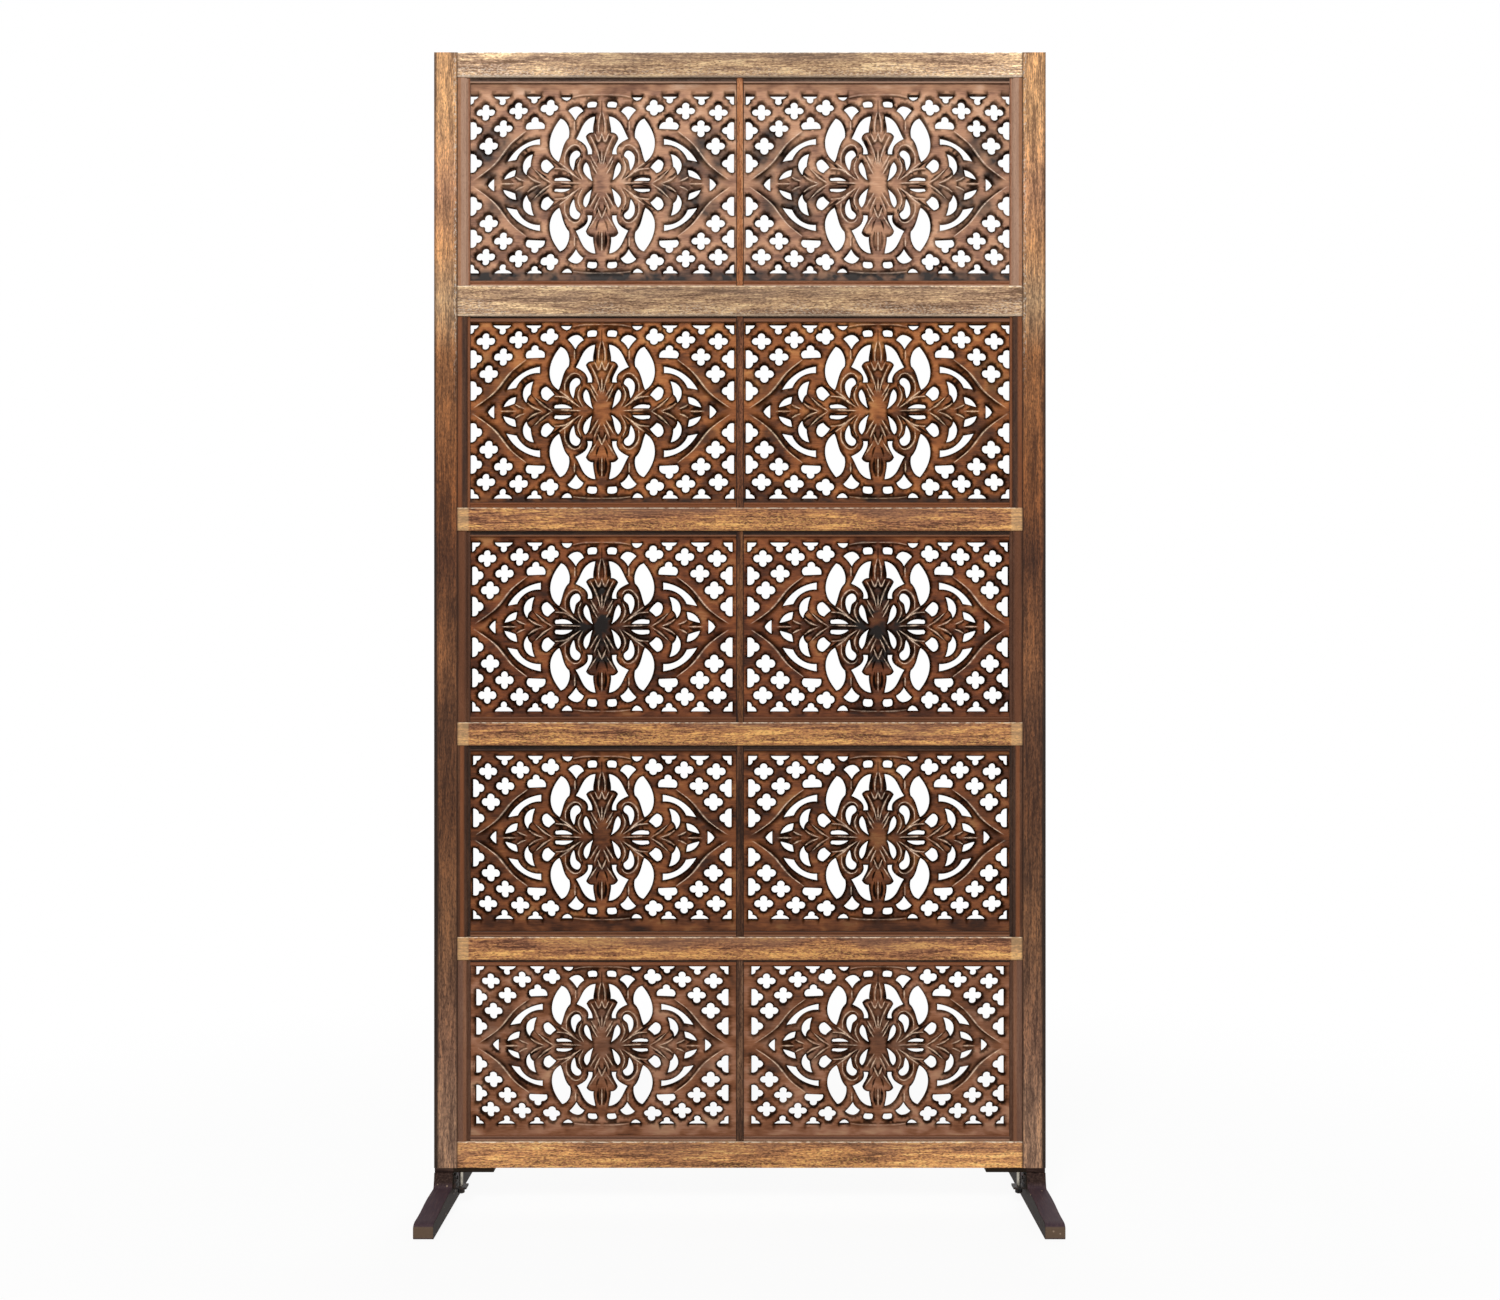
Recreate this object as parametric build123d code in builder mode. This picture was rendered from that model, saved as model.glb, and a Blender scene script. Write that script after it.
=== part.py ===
from build123d import *

import os

# Carved jali screen: a free-standing wooden room divider on two sled feet.
#
# Ten pierced boards stand in five rows of two inside a pegged mortise-and-tenon
# frame. Beads before and behind hold the boards, a narrow muntin parts the two
# boards of a row, and each stile stands on its own foot.
#
# X runs across the screen, Y from its front (-) to its back (+), Z up from the floor.
# All sizes are millimetres.

os.makedirs("parts", exist_ok=True)

# Whole screen
SCREEN_HEIGHT = 1829.0  # six feet, floor to top
SCREEN_WIDTH = 970.0
LEG_HEIGHT = 60.0  # floor to the underside of the frame
FRAME_THICKNESS = 25.0
FRAME_HEIGHT = SCREEN_HEIGHT - LEG_HEIGHT
EASED_EDGE = 1.0  # the arris taken off every long edge
FIT = 0.1  # clearance of a pushed-in piece, each side

# Frame members
STILE_WIDTH = 37.0
HALF_OPENING = SCREEN_WIDTH / 2 - STILE_WIDTH
RAIL_NAMES = ("top_rail", "upper_rail", "third_rail", "fourth_rail", "fifth_rail", "bottom_rail")
RAIL_HEIGHTS = (39.0, 48.0, 36.5, 36.5, 36.5, 41.5)
TENON_LENGTH = 30.0
TENON_THICKNESS = 9.0
TENON_SHOULDER = 5.0  # rail left above and below each tenon
PEG_DIAMETER = 6.0
PEG_LENGTH = 20.0
PEG_SETBACK = 14.0  # from the stile's inner face

# Rows of boards, from the top
ROW_NAMES = ("row_1", "row_2", "row_3", "row_4", "row_5")
TALL_OPENING = 331.0
STANDARD_OPENING = 304.0
SHORT_OPENING = FRAME_HEIGHT - sum(RAIL_HEIGHTS) - TALL_OPENING - 3 * STANDARD_OPENING
ROW_OPENINGS = (
    TALL_OPENING,
    STANDARD_OPENING,
    STANDARD_OPENING,
    STANDARD_OPENING,
    SHORT_OPENING,
)

# Muntins, grooved for the boards' inner edges
MUNTIN_WIDTH = 12.0
MUNTIN_DEPTH = 18.0
MUNTIN_GROOVE = 3.5
STUB_WIDTH = MUNTIN_WIDTH - 2 * MUNTIN_GROOVE
STUB_DEPTH = 8.0
STUB_LENGTH = 8.0

# Boards and the beads that hold them
BOARD_THICKNESS = 12.0
BOARD_PLAY = 0.5  # gap round a board's hidden edges
SIDE_BEAD_WIDTH = 20.0
SIDE_BEAD_PROUD = 4.5  # bead's face above the board
SIDE_BEAD_STEP = 5.5  # width of the lower inner strip
SIDE_BEAD_DROP = 2.0  # inner strip's face below the bead's own
SIDE_BEAD_CROWN = 0.3  # inner strip's round top above its edges
CROSS_BEAD_HEIGHT = 9.0
CROSS_BEAD_PROUD = 3.5
CROSS_BEAD_FLAT = 1.6  # flat half's face below the roll's crown
CROSS_BEAD_EDGE = 0.9  # roll's inner edge below its crown
BACK_BEAD_WIDTH = 10.0
BACK_BEAD_PROUD = 4.5
BRAD_DIAMETER = 1.6
BRAD_LENGTH = 30.0
BRAD_DEPTH = 1.4  # brad's centre line in front of the board
BRAD_SHARES = (0.1, 0.5, 0.9)  # brads' heights as shares of the opening

# Pierced pattern: drawn for a field of this half-size and stretched to each row's own
PATTERN_CENTRE = 219.5  # X of the pattern's middle, either side
PATTERN_HALF_WIDTH = 207.5
PATTERN_HALF_HEIGHT = 134.0
ROW_HALF_WIDTHS = (210.0, 210.0, 207.5, 206.0, 201.0)
ROW_HALF_HEIGHTS = (142.0, 138.5, 134.5, 130.0, 126.0)
ROW_PATTERN_RISES = (-2.0, 2.0, 0.0, 5.0, 7.0)  # pattern's middle above the opening's

# Feet
FOOT_LENGTH = 380.0
FOOT_WIDTH = 30.0
FOOT_INSET = 1.0  # foot's outer side in from the stile's
FOOT_BLOCK_HALF = 17.0  # half the block's length under the plate
FOOT_SHOULDER = (28.0, 31.0)  # where the toe's back meets the block's curve
TOE_HEIGHT = 19.0
TOE_NOSE = 3.0  # bevel at the toe's lower front edge
GLIDE_HEIGHT = 2.0
GLIDE_DIAMETER = 20.0
GLIDE_NAIL = 2.4
GLIDE_NAIL_LENGTH = 12.0
GLIDE_SPACING = 340.0
PLATE_THICKNESS = 7.0
PLATE_LENGTH = 94.0
PLATE_WIDTH = 24.0
STUD_CENTRE = 444.0  # X of the stud beside each foot
STUD_DIAMETER = 6.0
STUD_TOP = 85.0
STUD_BOTTOM = 20.0
STUD_BEVEL = 0.6
NUT_ACROSS_FLATS = 10.0
NUT_HEIGHT = 9.0
NUT_DOME = 2.0
BRACKET_THICKNESS = 3.0
BRACKET_LEDGE = 20.0
BRACKET_HEIGHT = 22.0
BRACKET_WIDTH = 24.0
BRACKET_BOTTOM = 26.0
SCREW_DIAMETER = 4.0
SCREW_HEAD = 8.0
SCREW_HEAD_DEPTH = 3.0
SCREW_HEAD_ROOM = 1.0  # counterbore wider than the head by this
FOOT_SCREW_SEAT = 18.0
FOOT_SCREW_OFFSET = 1.0  # outwards of the foot's middle
FOOT_SCREW_LINES = (-8.5, 8.5)
PLATE_SCREW_TOP = 78.0
PLATE_SCREW_OFFSETS = (16.0, 42.0)  # inwards of the stud
BRACKET_SCREW_DIAMETER = 3.0
BRACKET_SCREW_LENGTH = 14.0
BRACKET_SCREW_LEVEL = 40.0
BRACKET_SCREW_HEAD = 1.5
BRACKET_SCREW_LINES = (-7.5, 7.5)

FRAME_BACK = FRAME_THICKNESS / 2
BOARD_BACK = BOARD_THICKNESS / 2
PLATE_BOTTOM = LEG_HEIGHT - PLATE_THICKNESS
FOOT_CENTRE = SCREEN_WIDTH / 2 - FOOT_INSET - FOOT_WIDTH / 2
FOOT_INNER = FOOT_CENTRE - FOOT_WIDTH / 2
BEAD_INNER = HALF_OPENING - SIDE_BEAD_WIDTH
BRAD_LINE = -BOARD_BACK - BRAD_DEPTH
SIDES = {"left": -1, "right": 1}


def stack_down():
    """Work out the rails' and openings' bottom levels from the top of the frame down."""
    rails, openings = [], []
    level = SCREEN_HEIGHT
    for rail_height, opening in zip(RAIL_HEIGHTS, (*ROW_OPENINGS, 0.0)):
        level -= rail_height
        rails.append(level)
        level -= opening
        openings.append(level)
    return rails, openings[:-1]


RAIL_LEVELS, ROW_LEVELS = stack_down()


def finish(piece, name):
    """Label a finished piece and write it to its own file."""
    piece.part.label = name
    export_step(piece.part, f"parts/{name}.step")


def drill(x, y, bottom, depth, diameter):
    """Cut a vertical round hole upwards from a level, in the piece being made."""
    with BuildSketch(Plane.XY.offset(bottom)) as bore:
        with Locations((x, y)):
            Circle(diameter / 2)
    extrude(bore.sketch, amount=depth, mode=Mode.SUBTRACT)


def facing(x, y, z, direction):
    """Plane that looks along a direction, with its own x axis level."""
    level_axis = (0, 1, 0) if abs(direction[0]) == 1 else (1, 0, 0)
    return Plane((x, y, z), x_dir=level_axis, z_dir=direction)


# ---------------------------------------------------------------- frame


def foot_screw_places(side):
    """Where the two screws through each foot stand, either side of the tenon."""
    return [(side * (FOOT_CENTRE + FOOT_SCREW_OFFSET), line) for line in FOOT_SCREW_LINES]


def plate_screw_places(side):
    """Where the two screws through each plate's inner end stand."""
    return [(side * (STUD_CENTRE - offset), 0.0) for offset in PLATE_SCREW_OFFSETS]


def peg_hole(side, middle):
    """Plane at a peg's mouth, on the back of the frame, looking in."""
    return facing(side * (HALF_OPENING + PEG_SETBACK), FRAME_BACK, middle, (0, -1, 0))


def brad_levels(row):
    """Heights of the three brads in each side bead of a row."""
    bottom, opening = ROW_LEVELS[row], ROW_OPENINGS[row]
    return [bottom + opening * share for share in BRAD_SHARES]


def make_stile(side_name):
    """Outer upright, mortised for the rails and bored for pegs, brads and foot fixings."""
    side = SIDES[side_name]
    with BuildPart() as stile:
        with BuildSketch(Plane.XY.offset(LEG_HEIGHT)):
            with Locations((side * (HALF_OPENING + STILE_WIDTH / 2), 0)):
                Rectangle(STILE_WIDTH, FRAME_THICKNESS)
        extrude(amount=FRAME_HEIGHT)
        fillet(stile.edges().filter_by(Axis.Z), EASED_EDGE)
        for bottom, height in zip(RAIL_LEVELS, RAIL_HEIGHTS):
            middle = bottom + height / 2
            with BuildSketch(facing(side * HALF_OPENING, 0, middle, (side, 0, 0))):
                Rectangle(TENON_THICKNESS + 2 * FIT, height - 2 * TENON_SHOULDER + 2 * FIT)
            extrude(amount=TENON_LENGTH + FIT, mode=Mode.SUBTRACT)
            with BuildSketch(peg_hole(side, middle)):
                Circle(PEG_DIAMETER / 2 + FIT)
            extrude(amount=PEG_LENGTH, mode=Mode.SUBTRACT)
        for row in range(len(ROW_NAMES)):
            for level in brad_levels(row):
                with BuildSketch(facing(side * HALF_OPENING, BRAD_LINE, level, (side, 0, 0))):
                    Circle(BRAD_DIAMETER / 2 + FIT)
                extrude(amount=BRAD_LENGTH - SIDE_BEAD_WIDTH, mode=Mode.SUBTRACT)
        for x, y in foot_screw_places(side):
            drill(x, y, LEG_HEIGHT, STUD_TOP - LEG_HEIGHT, SCREW_DIAMETER + 2 * FIT)
    finish(stile, f"stile_{side_name}")


def make_rail(index):
    """Cross member with a tenon at each end and stub mortises for the muntins."""
    name, bottom, height = RAIL_NAMES[index], RAIL_LEVELS[index], RAIL_HEIGHTS[index]
    middle = bottom + height / 2
    top = bottom + height
    with BuildPart() as rail:
        with BuildSketch(facing(-HALF_OPENING, 0, middle, (1, 0, 0))):
            Rectangle(FRAME_THICKNESS, height)
        extrude(amount=2 * HALF_OPENING)
        fillet(rail.edges().filter_by(Axis.X), EASED_EDGE)
        with BuildSketch(facing(-HALF_OPENING - TENON_LENGTH, 0, middle, (1, 0, 0))):
            Rectangle(TENON_THICKNESS, height - 2 * TENON_SHOULDER)
        extrude(amount=2 * (HALF_OPENING + TENON_LENGTH))
        for side in SIDES.values():
            with BuildSketch(peg_hole(side, middle)):
                Circle(PEG_DIAMETER / 2 + FIT)
            extrude(amount=PEG_LENGTH, mode=Mode.SUBTRACT)
        stub_cut = (STUB_WIDTH + 2 * FIT, STUB_DEPTH + 2 * FIT)
        if name != "top_rail":
            with BuildSketch(Plane.XY.offset(top)):
                Rectangle(*stub_cut)
            extrude(amount=-STUB_LENGTH - FIT, mode=Mode.SUBTRACT)
        if name != "bottom_rail":
            with BuildSketch(Plane.XY.offset(bottom)):
                Rectangle(*stub_cut)
            extrude(amount=STUB_LENGTH + FIT, mode=Mode.SUBTRACT)
        if name == "bottom_rail":
            for side in SIDES.values():
                drill(side * STUD_CENTRE, 0, bottom, STUD_TOP - bottom, STUD_DIAMETER + 2 * FIT)
                for x, y in plate_screw_places(side):
                    drill(x, y, bottom, PLATE_SCREW_TOP - bottom, SCREW_DIAMETER + 2 * FIT)
    finish(rail, name)


def make_muntin(row):
    """Narrow upright between the two boards of a row, with a stub tenon at each end."""
    bottom, opening = ROW_LEVELS[row], ROW_OPENINGS[row]
    with BuildPart() as muntin:
        with BuildSketch(Plane.XY.offset(bottom)):
            Rectangle(MUNTIN_WIDTH, MUNTIN_DEPTH)
            with Locations((-MUNTIN_WIDTH / 2, 0), (MUNTIN_WIDTH / 2, 0)):
                Rectangle(2 * MUNTIN_GROOVE, BOARD_THICKNESS + 2 * FIT, mode=Mode.SUBTRACT)
        extrude(amount=opening)
        outer_edges = muntin.edges().filter_by(Axis.Z).group_by(Axis.Y)
        fillet(outer_edges[0] + outer_edges[-1], EASED_EDGE)
        with BuildSketch(Plane.XY.offset(bottom - STUB_LENGTH)):
            Rectangle(STUB_WIDTH, STUB_DEPTH)
        extrude(amount=opening + 2 * STUB_LENGTH)
    finish(muntin, f"muntin_{ROW_NAMES[row]}")


def make_pegs():
    """Twelve wooden pegs, one through each tenon, driven from the back."""
    with BuildPart() as pegs:
        for bottom, height in zip(RAIL_LEVELS, RAIL_HEIGHTS):
            middle = bottom + height / 2
            for side in SIDES.values():
                with BuildSketch(peg_hole(side, middle)):
                    Circle(PEG_DIAMETER / 2)
                extrude(amount=PEG_LENGTH)
    finish(pegs, "tenon_pegs")


# ---------------------------------------------------------------- pierced boards


def pierce(start, *runs):
    """Add one hole to the sketch being made.

    Each run goes on from where the last one ended: one more point is a straight
    cut, two are an arc and more are a free curve. The last point closes onto the start.
    """
    with BuildLine() as outline:
        here = start
        for run in runs:
            points = [here, *run]
            if len(points) == 2:
                Line(*points)
            elif len(points) == 3:
                ThreePointArc(*points)
            else:
                Spline(*points)
            here = points[-1]
        if here != start:
            Line(here, start)
    make_face(outline.edges())


def stretcher(stretch_x, stretch_y):
    """Return a function that stretches every point of a hole and pierces it."""

    def cut(start, *runs):
        def moved(point):
            return point[0] * stretch_x, point[1] * stretch_y

        pierce(moved(start), *[[moved(point) for point in run] for run in runs])

    return cut


def quatrefoil(cut, x, y, reach_x=15.0, reach_y=14.0, cusp=5.3):
    """Four round lobes that meet at four cusps."""
    east, north = (x + cusp, y + cusp), (x - cusp, y + cusp)
    west, south = (x - cusp, y - cusp), (x + cusp, y - cusp)
    cut(
        east,
        [(x, y + reach_y), north],
        [(x - reach_x, y), west],
        [(x, y - reach_y), south],
        [(x + reach_x, y), east],
    )


def lattice_holes(cut):
    """Corner lattice of quatrefoils, cut short where it meets the border or medallion."""
    side, top = PATTERN_HALF_WIDTH, PATTERN_HALF_HEIGHT
    quatrefoil(cut, 131.5, 111)
    quatrefoil(cut, 183, 108.5, reach_y=13.3)
    quatrefoil(cut, 155.5, 84.5)
    quatrefoil(cut, 178.5, 58.2, cusp=6.2)
    # bent by the ring beside it
    cut(
        (75, 121.5),
        [(81.5, 129.3), (87, 121.3)],
        [(97.3, 113.8), (88, 108)],
        [(81.3, 102.8), (75.5, 109.3)],
        [(68.8, 116), (75, 121.5)],
    )
    # flat against the medallion
    cut(
        (90.5, 82.8),
        [(117.5, 81.7)],
        [(120.6, 88), (111.5, 95.5)],
        [(106, 103.3), (100, 96)],
        [(90.8, 91), (90.5, 82.8)],
    )
    # flat against the side border
    cut((side, 95), [(201.5, 95.2), (197, 88)], [(188.5, 81.5), (196.5, 75)], [(201.5, 66.8), (side, 67)])
    cut((side, 47.5), [(201.5, 46.7), (197, 39)], [(188.5, 32), (196.5, 25)], [(201.5, 17.3), (side, 17.5)])
    # flat against the top border
    cut(
        (95, top),
        [(119.5, top)],
        [(116, 129.3), (111.5, 127.8)],
        [(106.5, 121), (101.5, 127.8)],
        [(97, 129.5), (95, top)],
    )
    cut(
        (141.5, top),
        [(171.5, top)],
        [(167, 129), (161, 127)],
        [(156.5, 118.5), (152, 127)],
        [(146, 129), (141.5, top)],
    )
    cut(
        (193.5, top),
        [(side, top)],
        [(side, 119)],
        [(202.5, 121), (201, 126.5)],
        [(196.5, 128), (193.5, top)],
    )
    cut((47.5, top - 1), [(64.5, top - 1)], [(60.5, 127.3), (55, 125)], [(50.5, 127.3), (47.5, top - 1)])


def ring_holes(cut):
    """Holes of the round medallion's rim, the lenses beside it and the crescents within."""
    cut(
        (9.5, 125.8),
        [(16, 126.6), (22.5, 125)],
        [(23.8, 120.5), (21.5, 114.6)],
        [(10, 115.2)],
        [(7.8, 120), (9.5, 125.8)],
    )
    cut(
        (29, 109.3),
        [(33, 116), (39.5, 119.3)],
        [(47.5, 117.5), (54.6, 111.6)],
        [(46.5, 103), (41.5, 95.8)],
        [(36.5, 103.5), (29, 109.3)],
    )
    cut(
        (66, 101),
        [(75, 88.5), (82, 71), (82.8, 57), (77.5, 42), (68, 33.3)],
        [(64.3, 43.5), (60.5, 56.5), (52.3, 69.3)],
        [(51.3, 78), (54.3, 90), (60, 98), (66, 101)],
    )
    cut(
        (10.5, 104.2),
        [(20, 101.5), (28, 94.5), (35, 82), (42.4, 68.6)],
        [(33, 63.8), (26.3, 58.5), (23.5, 44.5)],
        [(15.8, 44.8)],
        [(16.2, 52), (21.5, 63.5), (25.3, 71)],
        [(21, 75.8), (13.8, 77.3)],
        [(13.8, 85), (12.3, 94), (10.5, 104.2)],
    )


def heart_holes(cut):
    """Loops and ovals round the centre boss, and the slits between the side petals."""
    cut(
        (45, 20.2),
        [(50, 29), (51.6, 38), (49, 47.5), (41.5, 52.8), (34.2, 46.5)],
        [(35, 42.2), (40.5, 37), (43, 29), (45, 20.2)],
    )
    cut((14.3, 4), [(22, 9.8), (28.3, 18), (29.9, 27), (25.5, 35.2)], [(20.8, 27.5), (17.8, 15), (14.3, 4)])
    cut((46.5, 4.8), [(58, 11.4), (71, 11.2)], [(75.6, 8), (73.5, 4.8)])
    cut(
        (75, 25.8),
        [(80.3, 33), (87.5, 39.3)],
        [(95.6, 34.5), (95.8, 26.5)],
        [(92.5, 20), (85.5, 16.6)],
        [(80.5, 21.5), (75, 25.8)],
    )


def wing_holes(cut):
    """Arc slots and crescents of the pointed wings, out to the tips."""
    cut((97.2, 70.4), [(127, 59.6), (151, 33.2)], [(134.8, 36.2)], [(122, 52.3), (97.4, 59)])
    cut(
        (107.3, 47.5),
        [(124.2, 34), (118.5, 13.6)],
        [(117, 20.5), (112, 26.3)],
        [(110.6, 37), (107.3, 47.5)],
    )
    cut((135, 23.6), [(147.5, 19), (156, 6.3)], [(146, 8.8), (137.3, 12)], [(135.8, 17.5), (135, 23.6)])


def draw_pattern(stretch_x, stretch_y):
    """Sketch of every hole in one board, mirrored from a single quarter."""
    cut = stretcher(stretch_x, stretch_y)
    with BuildSketch() as pattern:
        lattice_holes(cut)
        ring_holes(cut)
        heart_holes(cut)
        wing_holes(cut)
        mirror(about=Plane.XZ)
        # the triangle inside the tip straddles the middle line
        cut((169.3, -10.7), [(169.3, 10.7)], [(176, 5.8), (180, 0)], [(176, -5.8), (169.3, -10.7)])
        mirror(about=Plane.YZ)
    return pattern.sketch


def make_boards(row):
    """The row's two pierced boards, cut from one pattern."""
    bottom, opening = ROW_LEVELS[row], ROW_OPENINGS[row]
    pattern = draw_pattern(
        ROW_HALF_WIDTHS[row] / PATTERN_HALF_WIDTH, ROW_HALF_HEIGHTS[row] / PATTERN_HALF_HEIGHT
    )
    inner = MUNTIN_WIDTH / 2 - MUNTIN_GROOVE + BOARD_PLAY / 2
    outer = HALF_OPENING - BOARD_PLAY
    middle = bottom + opening / 2 + ROW_PATTERN_RISES[row]
    for side_name, side in SIDES.items():
        with BuildPart() as board:
            with BuildSketch(facing(side * PATTERN_CENTRE, BOARD_BACK, middle, (0, -1, 0))):
                with Locations((side * ((inner + outer) / 2 - PATTERN_CENTRE), -ROW_PATTERN_RISES[row])):
                    Rectangle(outer - inner, opening - 2 * BOARD_PLAY)
                add(pattern, mode=Mode.SUBTRACT)
            extrude(amount=BOARD_THICKNESS)
        finish(board, f"carved_board_{ROW_NAMES[row]}_{side_name}")


# ---------------------------------------------------------------- beads


def make_side_beads(row):
    """Stepped strips between the stiles and the boards, pinned through their width."""
    bottom, opening = ROW_LEVELS[row], ROW_OPENINGS[row]
    face = -BOARD_BACK - SIDE_BEAD_PROUD
    strip_face = face + SIDE_BEAD_DROP
    step = BEAD_INNER + SIDE_BEAD_STEP
    for side_name, side in SIDES.items():
        with BuildPart() as bead:
            with BuildSketch(Plane.XY.offset(bottom)):
                with BuildLine():
                    Polyline(
                        (side * BEAD_INNER, strip_face),
                        (side * BEAD_INNER, -BOARD_BACK),
                        (side * HALF_OPENING, -BOARD_BACK),
                        (side * HALF_OPENING, face),
                        (side * step, face),
                        (side * step, strip_face),
                    )
                    ThreePointArc(
                        (side * step, strip_face),
                        (side * (BEAD_INNER + step) / 2, strip_face - SIDE_BEAD_CROWN),
                        (side * BEAD_INNER, strip_face),
                    )
                make_face()
            extrude(amount=opening)
            for level in brad_levels(row):
                with BuildSketch(facing(side * BEAD_INNER, BRAD_LINE, level, (side, 0, 0))):
                    Circle(BRAD_DIAMETER / 2 + FIT)
                extrude(amount=SIDE_BEAD_WIDTH, mode=Mode.SUBTRACT)
        finish(bead, f"side_bead_{ROW_NAMES[row]}_{side_name}")


def make_brads():
    """Brads through the side beads into the stiles."""
    with BuildPart() as brads:
        for side in SIDES.values():
            for row in range(len(ROW_NAMES)):
                for level in brad_levels(row):
                    start = side * BEAD_INNER
                    with BuildSketch(facing(start, BRAD_LINE, level, (side, 0, 0))):
                        Circle(BRAD_DIAMETER / 2)
                    extrude(amount=BRAD_LENGTH)
    finish(brads, "bead_brads")


def make_cross_beads(row):
    """Thin rolls above and below the row's boards, in front of them."""
    bottom, opening = ROW_LEVELS[row], ROW_OPENINGS[row]
    crown = -BOARD_BACK - CROSS_BEAD_PROUD
    flat = crown + CROSS_BEAD_FLAT
    length = BEAD_INNER - MUNTIN_WIDTH / 2
    roll = CROSS_BEAD_HEIGHT / 2
    with BuildPart() as beads:
        for side in SIDES.values():
            start = BEAD_INNER - length if side > 0 else -BEAD_INNER
            for rail_edge, inward in ((bottom, 1), (bottom + opening, -1)):
                inner_edge = rail_edge + inward * CROSS_BEAD_HEIGHT
                with BuildSketch(Plane.YZ.offset(start)):
                    with BuildLine():
                        Polyline(
                            (crown + CROSS_BEAD_EDGE, inner_edge),
                            (-BOARD_BACK, inner_edge),
                            (-BOARD_BACK, rail_edge),
                            (flat, rail_edge),
                            (flat, inner_edge - inward * roll),
                        )
                        ThreePointArc(
                            (flat, inner_edge - inward * roll),
                            (crown, inner_edge - inward * roll / 2),
                            (crown + CROSS_BEAD_EDGE, inner_edge),
                        )
                    make_face()
                extrude(amount=length)
    finish(beads, f"cross_beads_{ROW_NAMES[row]}")


def make_back_beads(row):
    """Six plain strips that the row's boards rest against from the front."""
    bottom, opening = ROW_LEVELS[row], ROW_OPENINGS[row]
    top = bottom + opening
    ends = (bottom + BACK_BEAD_WIDTH / 2, top - BACK_BEAD_WIDTH / 2)
    length = HALF_OPENING - MUNTIN_WIDTH / 2
    with BuildPart() as beads:
        for side in SIDES.values():
            across = side * (HALF_OPENING + MUNTIN_WIDTH / 2) / 2
            upright = side * (HALF_OPENING - BACK_BEAD_WIDTH / 2)
            with BuildSketch(facing(0, BOARD_BACK, 0, (0, 1, 0))):
                for level in ends:
                    with Locations((across, -level)):
                        Rectangle(length, BACK_BEAD_WIDTH)
            extrude(amount=BACK_BEAD_PROUD)
            with BuildSketch(facing(0, BOARD_BACK, 0, (0, 1, 0))):
                with Locations((upright, -(bottom + top) / 2)):
                    Rectangle(BACK_BEAD_WIDTH, opening - 2 * BACK_BEAD_WIDTH - 2 * FIT)
            extrude(amount=BACK_BEAD_PROUD)
    finish(beads, f"back_beads_{ROW_NAMES[row]}")


# ---------------------------------------------------------------- feet


def make_foot(side_name):
    """Sled foot: a block under the stile, long low toes before and behind."""
    side = SIDES[side_name]
    half = FOOT_LENGTH / 2
    block_top = (FOOT_BLOCK_HALF, PLATE_BOTTOM)
    with BuildPart() as foot:
        with BuildSketch(Plane.YZ.offset(side * FOOT_CENTRE - FOOT_WIDTH / 2)):
            with BuildLine():
                Polyline(
                    (0, GLIDE_HEIGHT),
                    (half - TOE_NOSE, GLIDE_HEIGHT),
                    (half, GLIDE_HEIGHT + TOE_NOSE),
                    (half, TOE_HEIGHT),
                )
                Spline(
                    (half, TOE_HEIGHT),
                    (half - 24, TOE_HEIGHT + 6.5),
                    (100, 29.4),
                    FOOT_SHOULDER,
                    tangents=[(-0.5, 1), (-1, 0)],
                )
                Spline(FOOT_SHOULDER, (22, 36), block_top, tangents=[(-1, 0), (-0.2, 1)])
                Line(block_top, (0, PLATE_BOTTOM))
                mirror(about=Plane.YZ)
            make_face()
        extrude(amount=FOOT_WIDTH)
        sides = foot.faces().filter_by(Axis.X)
        edges = sides.edges().filter_by(lambda edge: edge.center().Z > GLIDE_HEIGHT + TOE_NOSE)
        fillet(edges.filter_by(lambda edge: edge.center().Z < PLATE_BOTTOM - EASED_EDGE), EASED_EDGE)
        for x, y in foot_screw_places(side):
            drill(x, y, GLIDE_HEIGHT, FOOT_SCREW_SEAT - GLIDE_HEIGHT, SCREW_HEAD + SCREW_HEAD_ROOM)
            drill(x, y, GLIDE_HEIGHT, PLATE_BOTTOM, SCREW_DIAMETER + 2 * FIT)
        for y in (-GLIDE_SPACING / 2, GLIDE_SPACING / 2):
            drill(side * FOOT_CENTRE, y, GLIDE_HEIGHT, GLIDE_NAIL_LENGTH, GLIDE_NAIL + 2 * FIT)
        for y in BRACKET_SCREW_LINES:
            with BuildSketch(facing(side * FOOT_INNER, y, BRACKET_SCREW_LEVEL, (side, 0, 0))):
                Circle(BRACKET_SCREW_DIAMETER / 2 + FIT)
            extrude(amount=BRACKET_SCREW_LENGTH - BRACKET_THICKNESS, mode=Mode.SUBTRACT)
    finish(foot, f"foot_{side_name}")


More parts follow.
